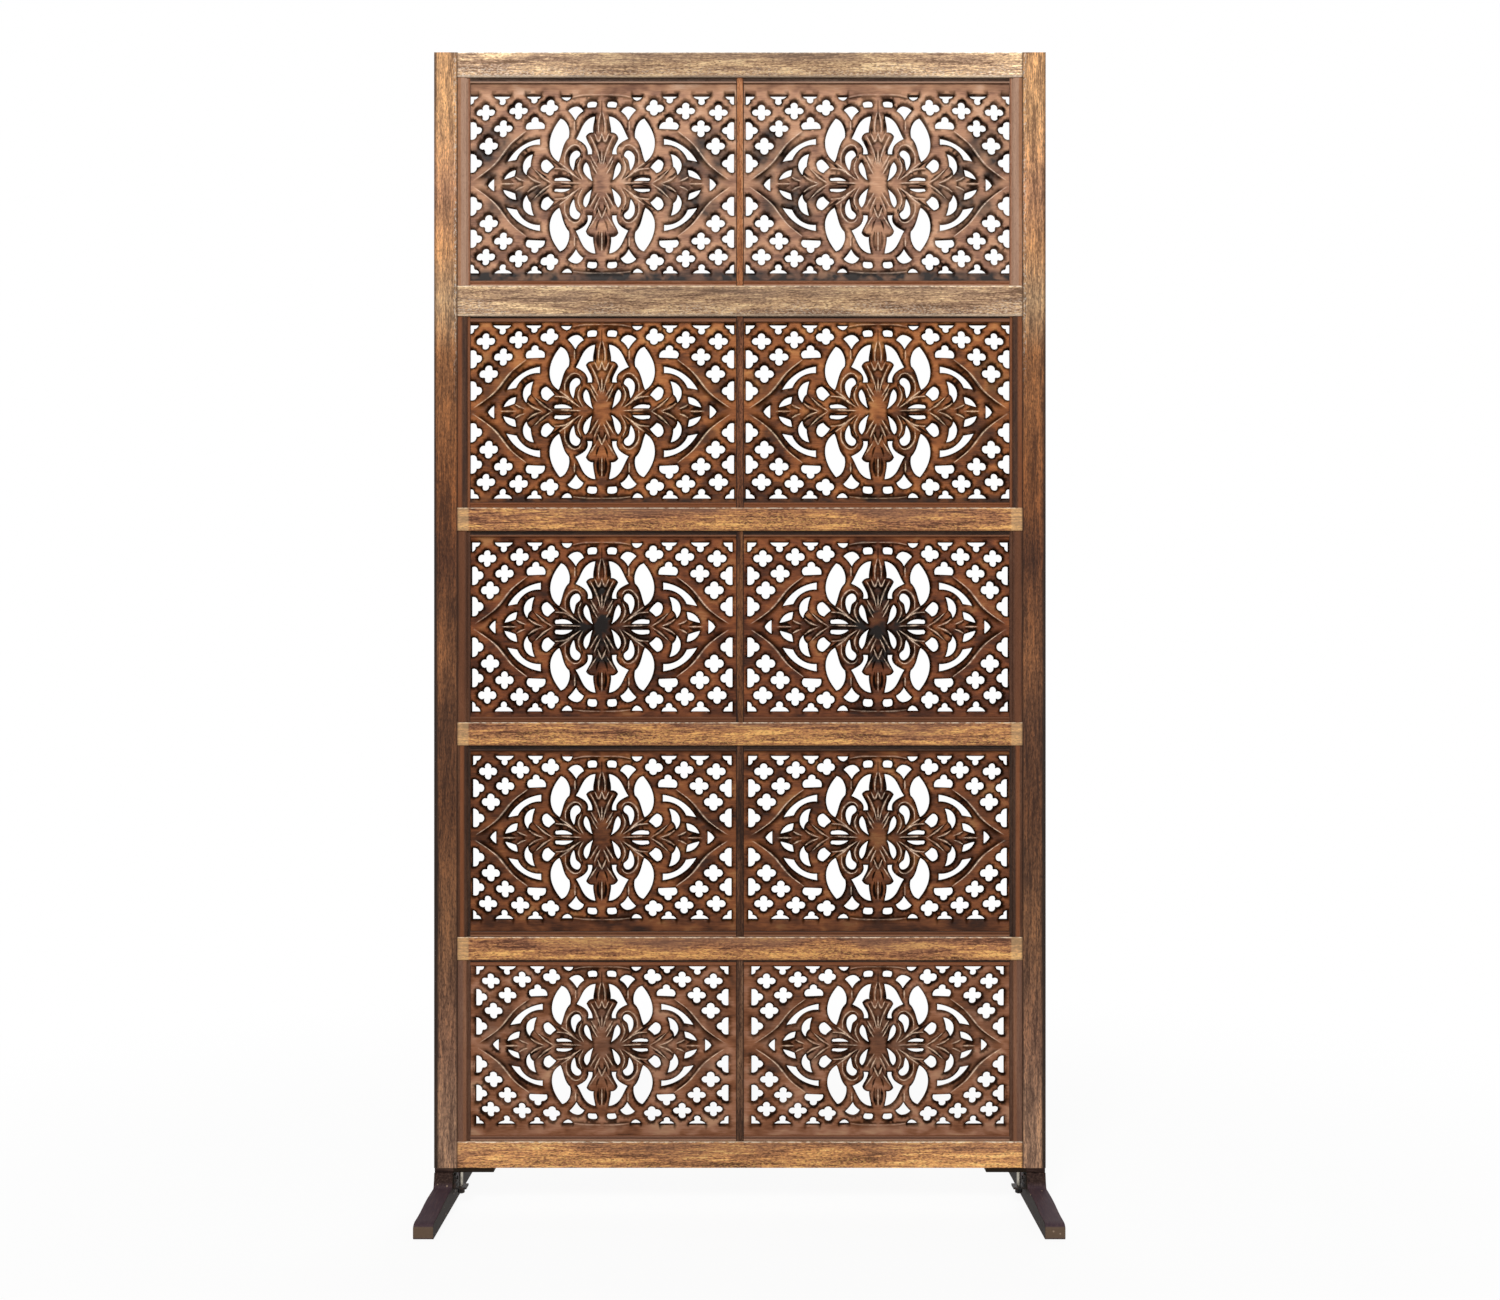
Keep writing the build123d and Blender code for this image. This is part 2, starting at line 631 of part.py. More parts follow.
def make_foot_plate(side_name):
    """Flat plate between the frame and the foot, reaching inwards under the bottom rail."""
    side = SIDES[side_name]
    outer = FOOT_CENTRE + FOOT_WIDTH / 2
    with BuildPart() as plate:
        with BuildSketch(Plane.XY.offset(PLATE_BOTTOM)):
            with Locations((side * (outer - PLATE_LENGTH / 2), 0)):
                Rectangle(PLATE_LENGTH, PLATE_WIDTH)
        extrude(amount=PLATE_THICKNESS)
        chamfer(plate.faces().sort_by(Axis.Z)[0].edges(), EASED_EDGE)
        drill(side * STUD_CENTRE, 0, PLATE_BOTTOM, PLATE_THICKNESS, STUD_DIAMETER + 2 * FIT)
        for x, y in foot_screw_places(side):
            drill(x, y, PLATE_BOTTOM, PLATE_THICKNESS, SCREW_DIAMETER + 2 * FIT)
        for x, y in plate_screw_places(side):
            drill(x, y, PLATE_BOTTOM, SCREW_HEAD_DEPTH, SCREW_HEAD + 2 * FIT)
            drill(x, y, PLATE_BOTTOM, PLATE_THICKNESS, SCREW_DIAMETER + 2 * FIT)
    finish(plate, f"foot_plate_{side_name}")


def make_foot_brackets():
    """Steel angles on the feet's inner sides, with a ledge that the studs pull up."""
    bottom = BRACKET_BOTTOM
    with BuildPart() as brackets:
        for side in SIDES.values():
            wall = side * FOOT_INNER
            with BuildSketch(Plane.XZ.offset(-BRACKET_WIDTH / 2)):
                with BuildLine():
                    Polyline(
                        (wall, bottom),
                        (wall - side * BRACKET_LEDGE, bottom),
                        (wall - side * BRACKET_LEDGE, bottom + BRACKET_THICKNESS),
                        (wall - side * BRACKET_THICKNESS, bottom + BRACKET_THICKNESS),
                        (wall - side * BRACKET_THICKNESS, bottom + BRACKET_HEIGHT),
                        (wall, bottom + BRACKET_HEIGHT),
                        close=True,
                    )
                make_face()
            extrude(amount=BRACKET_WIDTH)
            drill(side * STUD_CENTRE, 0, bottom, BRACKET_THICKNESS, STUD_DIAMETER + 2 * FIT)
            for y in BRACKET_SCREW_LINES:
                with BuildSketch(facing(wall, y, BRACKET_SCREW_LEVEL, (-side, 0, 0))):
                    Circle(BRACKET_SCREW_DIAMETER / 2 + FIT)
                extrude(amount=BRACKET_THICKNESS, mode=Mode.SUBTRACT)
    finish(brackets, "foot_brackets")


def make_bracket_screws():
    """Round-headed screws from the brackets into the feet."""
    with BuildPart() as screws:
        for side in SIDES.values():
            head_seat = side * (FOOT_INNER - BRACKET_THICKNESS)
            for y in BRACKET_SCREW_LINES:
                with BuildSketch(facing(head_seat, y, BRACKET_SCREW_LEVEL, (side, 0, 0))):
                    Circle(BRACKET_SCREW_DIAMETER / 2)
                extrude(amount=BRACKET_SCREW_LENGTH)
                with BuildSketch(facing(head_seat, y, BRACKET_SCREW_LEVEL, (-side, 0, 0))):
                    Circle(BRACKET_SCREW_DIAMETER)
                extrude(amount=BRACKET_SCREW_HEAD)
    finish(screws, "bracket_screws")


def make_studs():
    """Threaded rods from the bottom rail down through plate and bracket."""
    with BuildPart() as studs:
        for side in SIDES.values():
            with BuildSketch(Plane.XY.offset(STUD_BOTTOM)):
                with Locations((side * STUD_CENTRE, 0)):
                    Circle(STUD_DIAMETER / 2)
            extrude(amount=STUD_TOP - STUD_BOTTOM)
        chamfer(studs.faces().sort_by(Axis.Z)[:2].edges(), STUD_BEVEL)
    finish(studs, "foot_studs")


def make_stud_nuts():
    """Domed hexagon nuts under the brackets."""
    with BuildPart() as nuts:
        for side in SIDES.values():
            with BuildSketch(Plane.XY.offset(BRACKET_BOTTOM - NUT_HEIGHT)):
                with Locations((side * STUD_CENTRE, 0)):
                    RegularPolygon(NUT_ACROSS_FLATS / 2, 6, major_radius=False)
            extrude(amount=NUT_HEIGHT)
        fillet(nuts.faces().sort_by(Axis.Z)[:2].edges(), NUT_DOME)
        for side in SIDES.values():
            drill(side * STUD_CENTRE, 0, STUD_BOTTOM, NUT_HEIGHT, STUD_DIAMETER + 2 * FIT)
    finish(nuts, "stud_nuts")


def make_screws(name, places, seat, top):
    """Flat-headed wood screws whose heads hang just below their seat level."""
    with BuildPart() as screws:
        for x, y in places:
            with BuildSketch(Plane.XY.offset(seat)):
                with Locations((x, y)):
                    Circle(SCREW_DIAMETER / 2)
            extrude(amount=top - seat)
            with BuildSketch(Plane.XY.offset(seat - SCREW_HEAD_DEPTH)):
                with Locations((x, y)):
                    Circle(SCREW_HEAD / 2)
            extrude(amount=SCREW_HEAD_DEPTH)
    finish(screws, name)


def make_glides():
    """Nail-on glides near both ends of each foot."""
    with BuildPart() as glides:
        for side in SIDES.values():
            for y in (-GLIDE_SPACING / 2, GLIDE_SPACING / 2):
                place = (side * FOOT_CENTRE, y)
                with BuildSketch():
                    with Locations(place):
                        Circle(GLIDE_DIAMETER / 2)
                extrude(amount=GLIDE_HEIGHT)
                with BuildSketch(Plane.XY.offset(GLIDE_HEIGHT)):
                    with Locations(place):
                        Circle(GLIDE_NAIL / 2)
                extrude(amount=GLIDE_NAIL_LENGTH)
    finish(glides, "foot_glides")


for side_name in SIDES:
    make_stile(side_name)
for rail_index in range(len(RAIL_NAMES)):
    make_rail(rail_index)
make_pegs()
for row_index in range(len(ROW_NAMES)):
    make_muntin(row_index)
    make_boards(row_index)
    make_side_beads(row_index)
    make_cross_beads(row_index)
    make_back_beads(row_index)
make_brads()
for side_name in SIDES:
    make_foot(side_name)
    make_foot_plate(side_name)
make_foot_brackets()
make_bracket_screws()
make_studs()
make_stud_nuts()
foot_screws = [place for side in SIDES.values() for place in foot_screw_places(side)]
plate_screws = [place for side in SIDES.values() for place in plate_screw_places(side)]
make_screws("foot_screws", foot_screws, FOOT_SCREW_SEAT, STUD_TOP)
make_screws("plate_screws", plate_screws, PLATE_BOTTOM + SCREW_HEAD_DEPTH, PLATE_SCREW_TOP)
make_glides()
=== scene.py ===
import math
from functools import partial

import bpy
import numpy as np
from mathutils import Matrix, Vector
from mathutils.geometry import delaunay_2d_cdt
from mathutils.kdtree import KDTree


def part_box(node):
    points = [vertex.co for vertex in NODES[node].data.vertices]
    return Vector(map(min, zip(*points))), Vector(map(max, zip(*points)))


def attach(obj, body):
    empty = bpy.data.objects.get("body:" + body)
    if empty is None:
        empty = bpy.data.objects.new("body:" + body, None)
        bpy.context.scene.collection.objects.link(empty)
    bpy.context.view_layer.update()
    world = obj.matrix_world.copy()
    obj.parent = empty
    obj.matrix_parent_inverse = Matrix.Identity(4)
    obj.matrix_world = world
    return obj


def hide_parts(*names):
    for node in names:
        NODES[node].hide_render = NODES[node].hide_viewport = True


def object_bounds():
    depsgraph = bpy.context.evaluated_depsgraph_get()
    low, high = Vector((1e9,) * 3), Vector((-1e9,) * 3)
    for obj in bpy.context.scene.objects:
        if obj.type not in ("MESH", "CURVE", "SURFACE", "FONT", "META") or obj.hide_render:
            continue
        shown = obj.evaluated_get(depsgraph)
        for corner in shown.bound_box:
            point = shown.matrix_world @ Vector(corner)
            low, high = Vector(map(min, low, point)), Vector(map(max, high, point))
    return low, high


bl_info = {
    "name": "Carved Jali Screen",
    "version": (1, 0, 0),
    "blender": (4, 5, 0),
    "location": "View3D > Sidebar > Jali",
    "description": "Carves the boards and finishes the wood and metal of a jali screen",
    "category": "Object",
}

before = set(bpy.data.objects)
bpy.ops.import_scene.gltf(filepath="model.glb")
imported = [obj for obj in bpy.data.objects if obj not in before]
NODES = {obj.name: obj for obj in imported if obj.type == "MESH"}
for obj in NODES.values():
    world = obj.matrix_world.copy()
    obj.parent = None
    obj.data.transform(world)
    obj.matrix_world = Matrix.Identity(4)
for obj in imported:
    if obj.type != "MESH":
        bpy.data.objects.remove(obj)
CAD_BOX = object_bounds()
MM = 0.001
MICROMETRES = 1e6  # in a metre
ROWS = ("row_1", "row_2", "row_3", "row_4", "row_5")
SIDES = {"left": -1, "right": 1}
RAILS = ("top_rail", "upper_rail", "third_rail", "fourth_rail", "fifth_rail", "bottom_rail")
SCREEN_TOP = CAD_BOX[1][2]
# a stile's inner and outer side, and a foot's middle, from the middle of the screen
STILE_INNER, STILE_OUTER = (corner.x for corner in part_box("stile_right"))
FOOT_MIDDLE = sum(corner.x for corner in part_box("foot_right")) / 2
FOOT_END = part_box("foot_right")[1].y


def hex_colour(value):
    """Linear colour with alpha from an sRGB hex value. Any other value passes through."""
    if not isinstance(value, str):
        return value
    parts = [int(value[i : i + 2], 16) / 255 for i in (1, 3, 5)]
    linear = [c / 12.92 if c <= 0.04045 else ((c + 0.055) / 1.055) ** 2.4 for c in parts]
    return (*linear, 1.0)


# ---- what a user may change


class JaliCarving(bpy.types.PropertyGroup):
    """Sizes of the carver's cuts."""

    ridge_valley: bpy.props.FloatProperty(
        name="Valley offset",
        description="From a carved ridge to the bottom of the valley beside it",
        default=2.2 * MM, min=0.5 * MM, unit="LENGTH",
    )
    ridge_depth: bpy.props.FloatProperty(
        name="Valley depth",
        description="Depth of the valleys beside a ridge",
        default=1.5 * MM, min=0.0, unit="LENGTH",
    )
    arris: bpy.props.FloatProperty(
        name="Arris width",
        description="Width of the rounding round each hole",
        default=1.8 * MM, min=0.2 * MM, unit="LENGTH",
    )
    arris_depth: bpy.props.FloatProperty(
        name="Arris depth",
        description="How far the rounding drops at a hole's edge",
        default=1.0 * MM, min=0.0, unit="LENGTH",
    )
    grid: bpy.props.FloatProperty(
        name="Open grid",
        description="Point spacing on plain parts of a board",
        default=3.4 * MM, min=1.0 * MM, unit="LENGTH",
    )


class JaliColours(bpy.types.PropertyGroup):
    """Stains and paint."""

    # the burnt edge colour is also the painted shade in the carving's gouges and valleys
    burn_and_shade: bpy.props.FloatVectorProperty(
        name="Burnt edge",
        description="Scorched and stained wood at the holes' edges",
        subtype="COLOR", size=4, default=hex_colour("#130A06"),
    )
    foot: bpy.props.FloatVectorProperty(
        name="Foot stain",
        description="Dark stain of the feet",
        subtype="COLOR", size=4, default=hex_colour("#382823"),
    )
    floor: bpy.props.FloatVectorProperty(
        name="Floor",
        description="Plain studio floor",
        subtype="COLOR", size=4, default=hex_colour("#F4F3F1"),
    )


class JaliStage(bpy.types.PropertyGroup):
    """The camera's place and lens."""

    camera_distance: bpy.props.FloatProperty(
        name="Camera distance",
        description="From the middle of the screen's thickness to the lens",
        default=2.754, min=0.5, unit="LENGTH",
    )
    camera_height: bpy.props.FloatProperty(
        name="Camera height",
        description="Lens above the floor",
        default=0.810, min=0.05, unit="LENGTH",
    )
    camera_aside: bpy.props.FloatProperty(
        name="Camera aside",
        description="Lens to the right of the screen's middle",
        default=0.016, unit="LENGTH",
    )
    lens: bpy.props.FloatProperty(
        name="Lens",
        description="Focal length",
        default=41.5, min=10.0, unit="CAMERA",
    )


# ---- building materials


def add(tree, kind, inputs=(), **settings):
    """Add a shader node with its settings, ramp stops, values and incoming links.

    Inputs are named, or listed in the order of the sockets in use. A node given as an
    input is joined by its first output in use.
    """
    node = tree.nodes.new("ShaderNode" + kind)
    for name, value in settings.items():
        if name != "stops":
            setattr(node, name, value)
            continue
        elements = node.color_ramp.elements
        while len(elements) < len(value):
            elements.new(0.5)
        for element, (place, colour) in zip(elements, value):
            element.position, element.color = place, hex_colour(colour)
    in_use = [socket for socket in node.inputs if socket.enabled]
    named = isinstance(inputs, dict)
    for key, value in inputs.items() if named else zip(in_use, inputs):
        socket = node.inputs[key] if named else key
        if isinstance(value, bpy.types.Node):
            value = next(output for output in value.outputs if output.enabled)
        if isinstance(value, bpy.types.NodeSocket):
            tree.links.new(value, socket)
        else:
            socket.default_value = hex_colour(value)
    return node


SMOOTH = {"interpolation_type": "SMOOTHSTEP"}


def new_material(name):
    """An empty material and its node tree."""
    material = bpy.data.materials.new(name)
    material.use_nodes = True
    material.node_tree.nodes.clear()
    return material, material.node_tree


def coat(material, surface, relief=None):
    """Finish a material from its surface and fine relief (height, strength, distance)."""
    tree = material.node_tree
    if relief:
        bump = add(tree, "Bump", dict(zip(("Height", "Strength", "Distance"), relief)))
        surface = {**surface, "Normal": bump}
    add(tree, "OutputMaterial", (add(tree, "BsdfPrincipled", surface),))
    return material


def dress(node_name, material):
    """Give a CAD node its material."""
    node = NODES[node_name]
    if not node.material_slots:
        node.data.materials.append(material)
    for slot in node.material_slots:
        slot.material = material


def grain_space(tree, axis, along, across, seed):
    """Texture space in which one unit is a figure's length along the grain and its width."""
    scale = [1 / across] * 3
    scale["XYZ".index(axis)] = 1 / along
    source = add(tree, "TexCoord").outputs["Object"]
    shift = (seed * 3.17, seed * 7.31, seed * 5.03)
    return add(tree, "Mapping", {"Vector": source, "Scale": scale, "Location": shift})


def noise(tree, axis, along, across, seed, detail=2.0, rough=0.6, bent=0.3):
    """Noise stretched along the grain, with bent figures."""
    inputs = {"Scale": 1.0, "Detail": detail, "Roughness": rough, "Distortion": bent}
    inputs["Vector"] = grain_space(tree, axis, along, across, seed)
    return add(tree, "TexNoise", inputs)


def place_of(tree):
    """X, Y and Z of the surface point, in metres."""
    return add(tree, "SeparateXYZ", (add(tree, "TexCoord").outputs["Object"],)).outputs


def from_middle(tree, value, middle=0.0):
    """Distance of one coordinate from a middle value."""
    offset = add(tree, "Math", (value, middle), operation="SUBTRACT")
    return add(tree, "Math", (offset,), operation="ABSOLUTE")


def layered(tree, colour, *layers):
    """Lay stains over a colour in turn. Each covers by the product of its masks."""
    for stain, mask, *others in layers:
        for other in others:
            mask = add(tree, "Math", (mask, other), operation="MULTIPLY")
        colour = add(tree, "Mix", (mask, colour, stain), data_type="RGBA")
    return colour


# ---- wood

FIVE_PLANED = (0.22, 0.36, 0.50, 0.63, 0.80)  # where the five tones stand on their ramp
FIVE_CARVED = (0.24, 0.38, 0.50, 0.62, 0.78)


def mango_planed(name, axis, tones, seed, stain=None, boldness=1.0):
    """Mango wood, planed by hand, stained and waxed.

    Broad bands run with the grain, golden flecks catch the light, and dark stain sits
    in the open pores. The wax gives a low, broken sheen.
    """
    material, tree = new_material(name)
    bands = noise(tree, axis, 130 * MM, 11 * MM, seed)
    flecks = noise(tree, axis, 6 * MM, 2.4 * MM, seed + 1, 1.5, 0.75)
    fibres = noise(tree, axis, 26 * MM, 1.7 * MM, seed + 2, 1.0)
    # mango's pores are 0.2 mm wide, and are drawn 1 mm wide so that they show
    pores = noise(tree, axis, 6 * MM, 1.0 * MM, seed + 3, 0.0)
    tone = add(tree, "Math", (bands, 1.2), operation="MULTIPLY")
    for part, share in ((flecks, 0.75), (fibres, 0.85)):
        tone = add(tree, "Math", (part, share * boldness, tone), operation="MULTIPLY_ADD")
    tone = add(tree, "Math", (tone, 0.1 + 0.8 * boldness), operation="SUBTRACT")
    ramp = add(tree, "ValToRGB", (tone,), stops=tuple(zip(FIVE_PLANED, tones)))
    pore_mask = add(tree, "MapRange", (pores, 0.60, 0.70, 0.0, 0.8))
    colour = layered(tree, ramp, (tones[0], pore_mask))
    # the stain, which on the stiles, beads and muntins also paints light and shade
    if stain is not None:
        colour = stain(tree, colour)
    height = add(tree, "Math", (pore_mask, -1.0, tone), operation="MULTIPLY_ADD")
    sheen = add(tree, "MapRange", (flecks, 0.3, 0.7, 0.58, 0.42))
    waxed = {"Base Color": colour, "Roughness": sheen, "IOR": 1.5, "Specular IOR Level": 0.14}
    return coat(material, waxed, (height, 0.5, 0.5 * MM))


STILE_STAIN_AND_LIGHT = (
    # height above the floor as a share of the screen's, and the colour there: the stain, and
    # partly painted light that makes the upper stiles paler
    (0.05, "#A07E67"), (0.14, "#7E5C49"), (0.23, "#725039"), (0.34, "#5C3B27"),
    (0.42, "#5C3C29"), (0.475, "#7C5236"), (0.56, "#533220"), (0.63, "#80502F"),
    (0.74, "#8A5D3B"), (0.785, "#B0906F"), (0.83, "#BD8C62"), (0.88, "#B58564"),
    (0.95, "#D0A072"),
)


def stile_stain_and_shade(tree, figure):
    """The stain of a stile by height, with its figure, a painted shade line along its inner arris
    and a painted shade band along its outer one.
    """
    place = place_of(tree)
    height = add(tree, "MapRange", (place["Z"], 0.0, SCREEN_TOP))
    stain = add(tree, "ValToRGB", (height,), stops=STILE_STAIN_AND_LIGHT)
    toned = add(tree, "Mix", (1.0, stain, figure), data_type="RGBA", blend_type="MULTIPLY")
    across = from_middle(tree, place["X"])
    # pale wood shows in specks along the upper part's inner arris
    upper = add(tree, "MapRange", (place["Z"], 1.25, 1.45), **SMOOTH)
    grains = noise(tree, "Z", 4 * MM, 2.2 * MM, 61.0)
    speckle = add(tree, "MapRange", (grains, 0.52, 0.60))
    rubbed = (across, STILE_INNER + 7.5 * MM, STILE_INNER + 3.5 * MM, 0.0, 0.55)
    rubbed = add(tree, "MapRange", rubbed, **SMOOTH)
    # painted shade: a dark line along the inner arris, where the stile meets the bead
    joint = (across, STILE_INNER + 2.5 * MM, STILE_INNER + 1.0 * MM, 0.0, 0.75)
    joint = add(tree, "MapRange", joint, **SMOOTH)
    # painted shade: the dark outer band is wider and denser low down, and a little lighter on the
    # side
    reach = add(tree, "MapRange", (place["Z"], 0.55, 1.25, 0.0, 3 * MM))
    edge = add(tree, "Math", (across, reach), operation="SUBTRACT")
    shaded_band = (edge, STILE_OUTER - 9.0 * MM, STILE_OUTER - 4.2 * MM)
    shaded_band = add(tree, "MapRange", shaded_band, **SMOOTH)
    depth = add(tree, "MapRange", (upper, 0.0, 1.0, 0.94, 0.62))
    side = (across, STILE_OUTER - 0.5 * MM, STILE_OUTER - 0.1 * MM, 1.0, 0.8)
    side = add(tree, "MapRange", side)
    return layered(
        tree,
        toned,
        ("#D9CDBE", rubbed, upper, speckle),
        ("#2E1E15", joint),
        ("#201712", shaded_band, depth, side),
    )


RAIL_FADING = {
    # how far the ends are bleached, and the share of grey in the middle and at the ends
    "top_rail": (0.64, 0.32, 0.10),
    "upper_rail": (0.24, 0.24, 0.10),
    "bottom_rail": (0.18, 0.38, 0.30),
}
PLAIN_FADING = (0.06, 0.62, 0.10)
# stains of the grey belt, the mottled lower edge and the ragged line under it
PALE_RAIL = ("#8F7A68", "#DCCBB6", "#A0907E")
GOLDEN_RAIL = ("#7C5844", "#DDAA62", "#74482E")
# how many times brighter bleached wood is in red, green and blue
BLEACHED = (2.30, 2.50, 2.70, 1.0)


def rail_stain(node_name, tree, figure):
    """The stain of a rail: paler ends, a rubbed top arris and a mottled lower edge."""
    low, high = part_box(node_name)
    pale = node_name in ("top_rail", "upper_rail")
    paling, grey_middle, grey_end = RAIL_FADING.get(node_name, PLAIN_FADING)
    grey_stain, mottled_stain, ragged_stain = PALE_RAIL if pale else GOLDEN_RAIL
    place = place_of(tree)
    across = from_middle(tree, place["X"])
    rise = add(tree, "MapRange", (place["Z"], low.z, high.z))
    # the upper part is greyer, the lower part mottled with gold, and the line between
    # them swells and sinks along the rail
    swell = noise(tree, "X", 150 * MM, 400 * MM, 53.0, 1.0)
    belt = add(tree, "Math", (rise, -0.8), operation="ADD")
    belt = add(tree, "Math", (swell, 1.6, belt), operation="MULTIPLY_ADD")
    end = add(tree, "MapRange", (across, 0.14, 0.42), **SMOOTH)
    greyed = add(tree, "MapRange", (end, 0.0, 1.0, grey_middle, grey_end))
    grey = add(tree, "MapRange", (belt, 0.40, 0.90), **SMOOTH)
    spots = noise(tree, "X", 5 * MM, 2.2 * MM, 83.0)
    mottle = add(tree, "MapRange", (spots, 0.50, 0.62))
    lower = (belt, 0.55, 0.10, 0.0, 0.36 if pale else 0.60)
    lower = add(tree, "MapRange", lower, **SMOOTH)
    layers = [(grey_stain, grey, greyed), (mottled_stain, mottle, lower)]
    if node_name != "bottom_rail":
        ragged = add(tree, "MapRange", (rise, 0.10, 0.03, 0.0, 0.5), **SMOOTH)
        layers.append((ragged_stain, ragged))
    chips = noise(tree, "X", 9 * MM, 3 * MM, 97.0)
    chipped = add(tree, "MapRange", (chips, 0.44, 0.58, 0.12, 0.8))
    arris = add(tree, "MapRange", (rise, 0.955, 0.975))
    colour = layered(tree, figure, *layers, ("#F6E2C6", arris, chipped))
    bleach = add(tree, "Math", (end, paling), operation="MULTIPLY")
    bleach = (bleach, colour, BLEACHED)
    colour = add(tree, "Mix", bleach, data_type="RGBA", blend_type="MULTIPLY")
    joint = (across, STILE_INNER - 2.5 * MM, STILE_INNER - 0.5 * MM, 0.0, 0.55)
    layers = [("#5E4432", add(tree, "MapRange", joint))]
    if node_name in ("third_rail", "fourth_rail", "fifth_rail"):
        tip = (across, STILE_INNER - 19.0 * MM, STILE_INNER - 16.5 * MM, 0.0, 0.36)
        layers.insert(0, ("#D8B684", add(tree, "MapRange", tip)))
    return layered(tree, colour, *layers)


BEAD_STAINS_AND_SHADES = {
    # stains of the beads, and painted_shadow, the near-black painted shadow under the rails; the
    # darkest stains also paint shade in quirks and between parts
    "painted_shadow": "#0A0605",
    "black_brown": "#2E1C14",
    "umber": "#462A1C",
    "walnut": "#643C26",
    "dun": "#684839",
    "sienna": "#794628",
    "chestnut": "#7A5038",
    "clay": "#93684E",
    "tan": "#976847",
    "mauve": "#9E7D68",
    "rose": "#B48C72",
}
# Stains and painted light of the cross beads: how far the painted shadow reaches under the rail
# above, the roll, whose colour paints its highlight or shade, and the quirk beside the board,
# dark with painted shade, then the painted highlight line and the face above the rail below.
CROSS_STAINS_AND_SHADES = {
    "row_1": (0.64, "mauve", "umber", "rose", "sienna"),
    "row_2": (0.28, "chestnut", "umber", "sienna", "sienna"),
    "row_3": (0.66, "chestnut", "walnut", "walnut", "walnut"),
    "row_4": (0.60, "black_brown", "black_brown", "clay", "walnut"),
    "row_5": (0.34, "sienna", "sienna", "rose", "dun"),
}
CROSS_BEAD_HEIGHT = 9 * MM
# Stains and painted shade of the side beads and where they run from the board (0) to the stile
# (1): the arris, the quirk, in most rows dark with painted shade, and the wide strip.
SIDE_STAINS_AND_SHADES = {
    "row_1": (("sienna", 0.05, 0.10), ("mauve", 0.20, 0.68), ("tan", 0.78, 0.94)),
    "row_2": (("sienna", 0.05, 0.14), ("black_brown", 0.26, 0.58), ("sienna", 0.72, 0.94)),
    "row_3": (("umber", 0.05, 0.30), ("walnut", 0.52, 0.60), ("walnut", 0.70, 0.84)),
    "row_4": (("painted_shadow", 0.05, 0.14), ("black_brown", 0.22, 0.42), ("sienna", 0.56, 0.76)),
    "row_5": (("umber", 0.05, 0.20), ("chestnut", 0.36, 0.52), ("dun", 0.62, 0.94)),
}
SIDE_BEAD_WIDTH = 20 * MM


def bead_stops(bands):
    """Ramp stops across a bead, from places and the names of its stains."""
    return [(place, BEAD_STAINS_AND_SHADES[stain]) for place, stain in bands]


def cross_bead_stain_and_shade(row, tree, figure):
    """A cross bead: a nearly black painted shadow under its rail, a roll painted with its
    highlight or shade, a painted highlight line above the rail below and painted shade in the
    dark quirk.
    """
    low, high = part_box(f"cross_beads_{row}")
    middle = (low.z + high.z) / 2
    painted_shadow, roll, quirk, line, face = CROSS_STAINS_AND_SHADES[row]
    # under the rail above: painted shadow, the roll and the quirk with its painted shade
    hung = ((painted_shadow, "painted_shadow"), (painted_shadow + 0.12, roll), (0.88, roll), (0.97, quirk))
    # above the rail below: a dark line of painted shade, the painted highlight line, the face and
    # the quirk with its painted shade
    stood = ((0.06, "umber"), (0.16, line), (0.24, line), (0.36, face), (0.84, face))
    stood += ((0.96, quirk),)
    level = place_of(tree)["Z"]
    across = from_middle(tree, level, middle)
    share = add(tree, "Math", ((high.z - low.z) / 2, across), operation="SUBTRACT")
    share = add(tree, "MapRange", (share, 0.0, CROSS_BEAD_HEIGHT))
    above = add(tree, "MapRange", (level, middle - 1 * MM, middle + 1 * MM))
    below, up = (
        add(tree, "ValToRGB", (share,), stops=bead_stops(bands)) for bands in (stood, hung)
    )
    return layered(tree, figure, (layered(tree, below, (up, above)), 0.85))


def muntin_shade(tree, figure):
    """Painted shade: dark lines on a muntin's round flanks where it meets the boards."""
    across = from_middle(tree, place_of(tree)["X"])
    edge = add(tree, "MapRange", (across, 3.8 * MM, 5.6 * MM, 0.0, 0.9), **SMOOTH)
    return layered(tree, figure, ("#170E0A", edge))


def side_bead_stain_and_shade(row, tree, figure):
    """A side bead: an arris beside the board, a quirk, in most rows darkened with painted shade,
    and a wide strip, with dark painted shade lines next to the board and the stile.
    """
    bands = [(0.0, "black_brown")]
    for name, start, end in SIDE_STAINS_AND_SHADES[row]:
        bands += [(start, name), (end, name)]
    bands.append((min(end + 0.1, 1.0), "umber"))
    across = from_middle(tree, place_of(tree)["X"])
    across = add(tree, "MapRange", (across, STILE_INNER - SIDE_BEAD_WIDTH, STILE_INNER))
    banded = add(tree, "ValToRGB", (across,), stops=bead_stops(bands))
    return layered(tree, figure, (banded, 0.78))


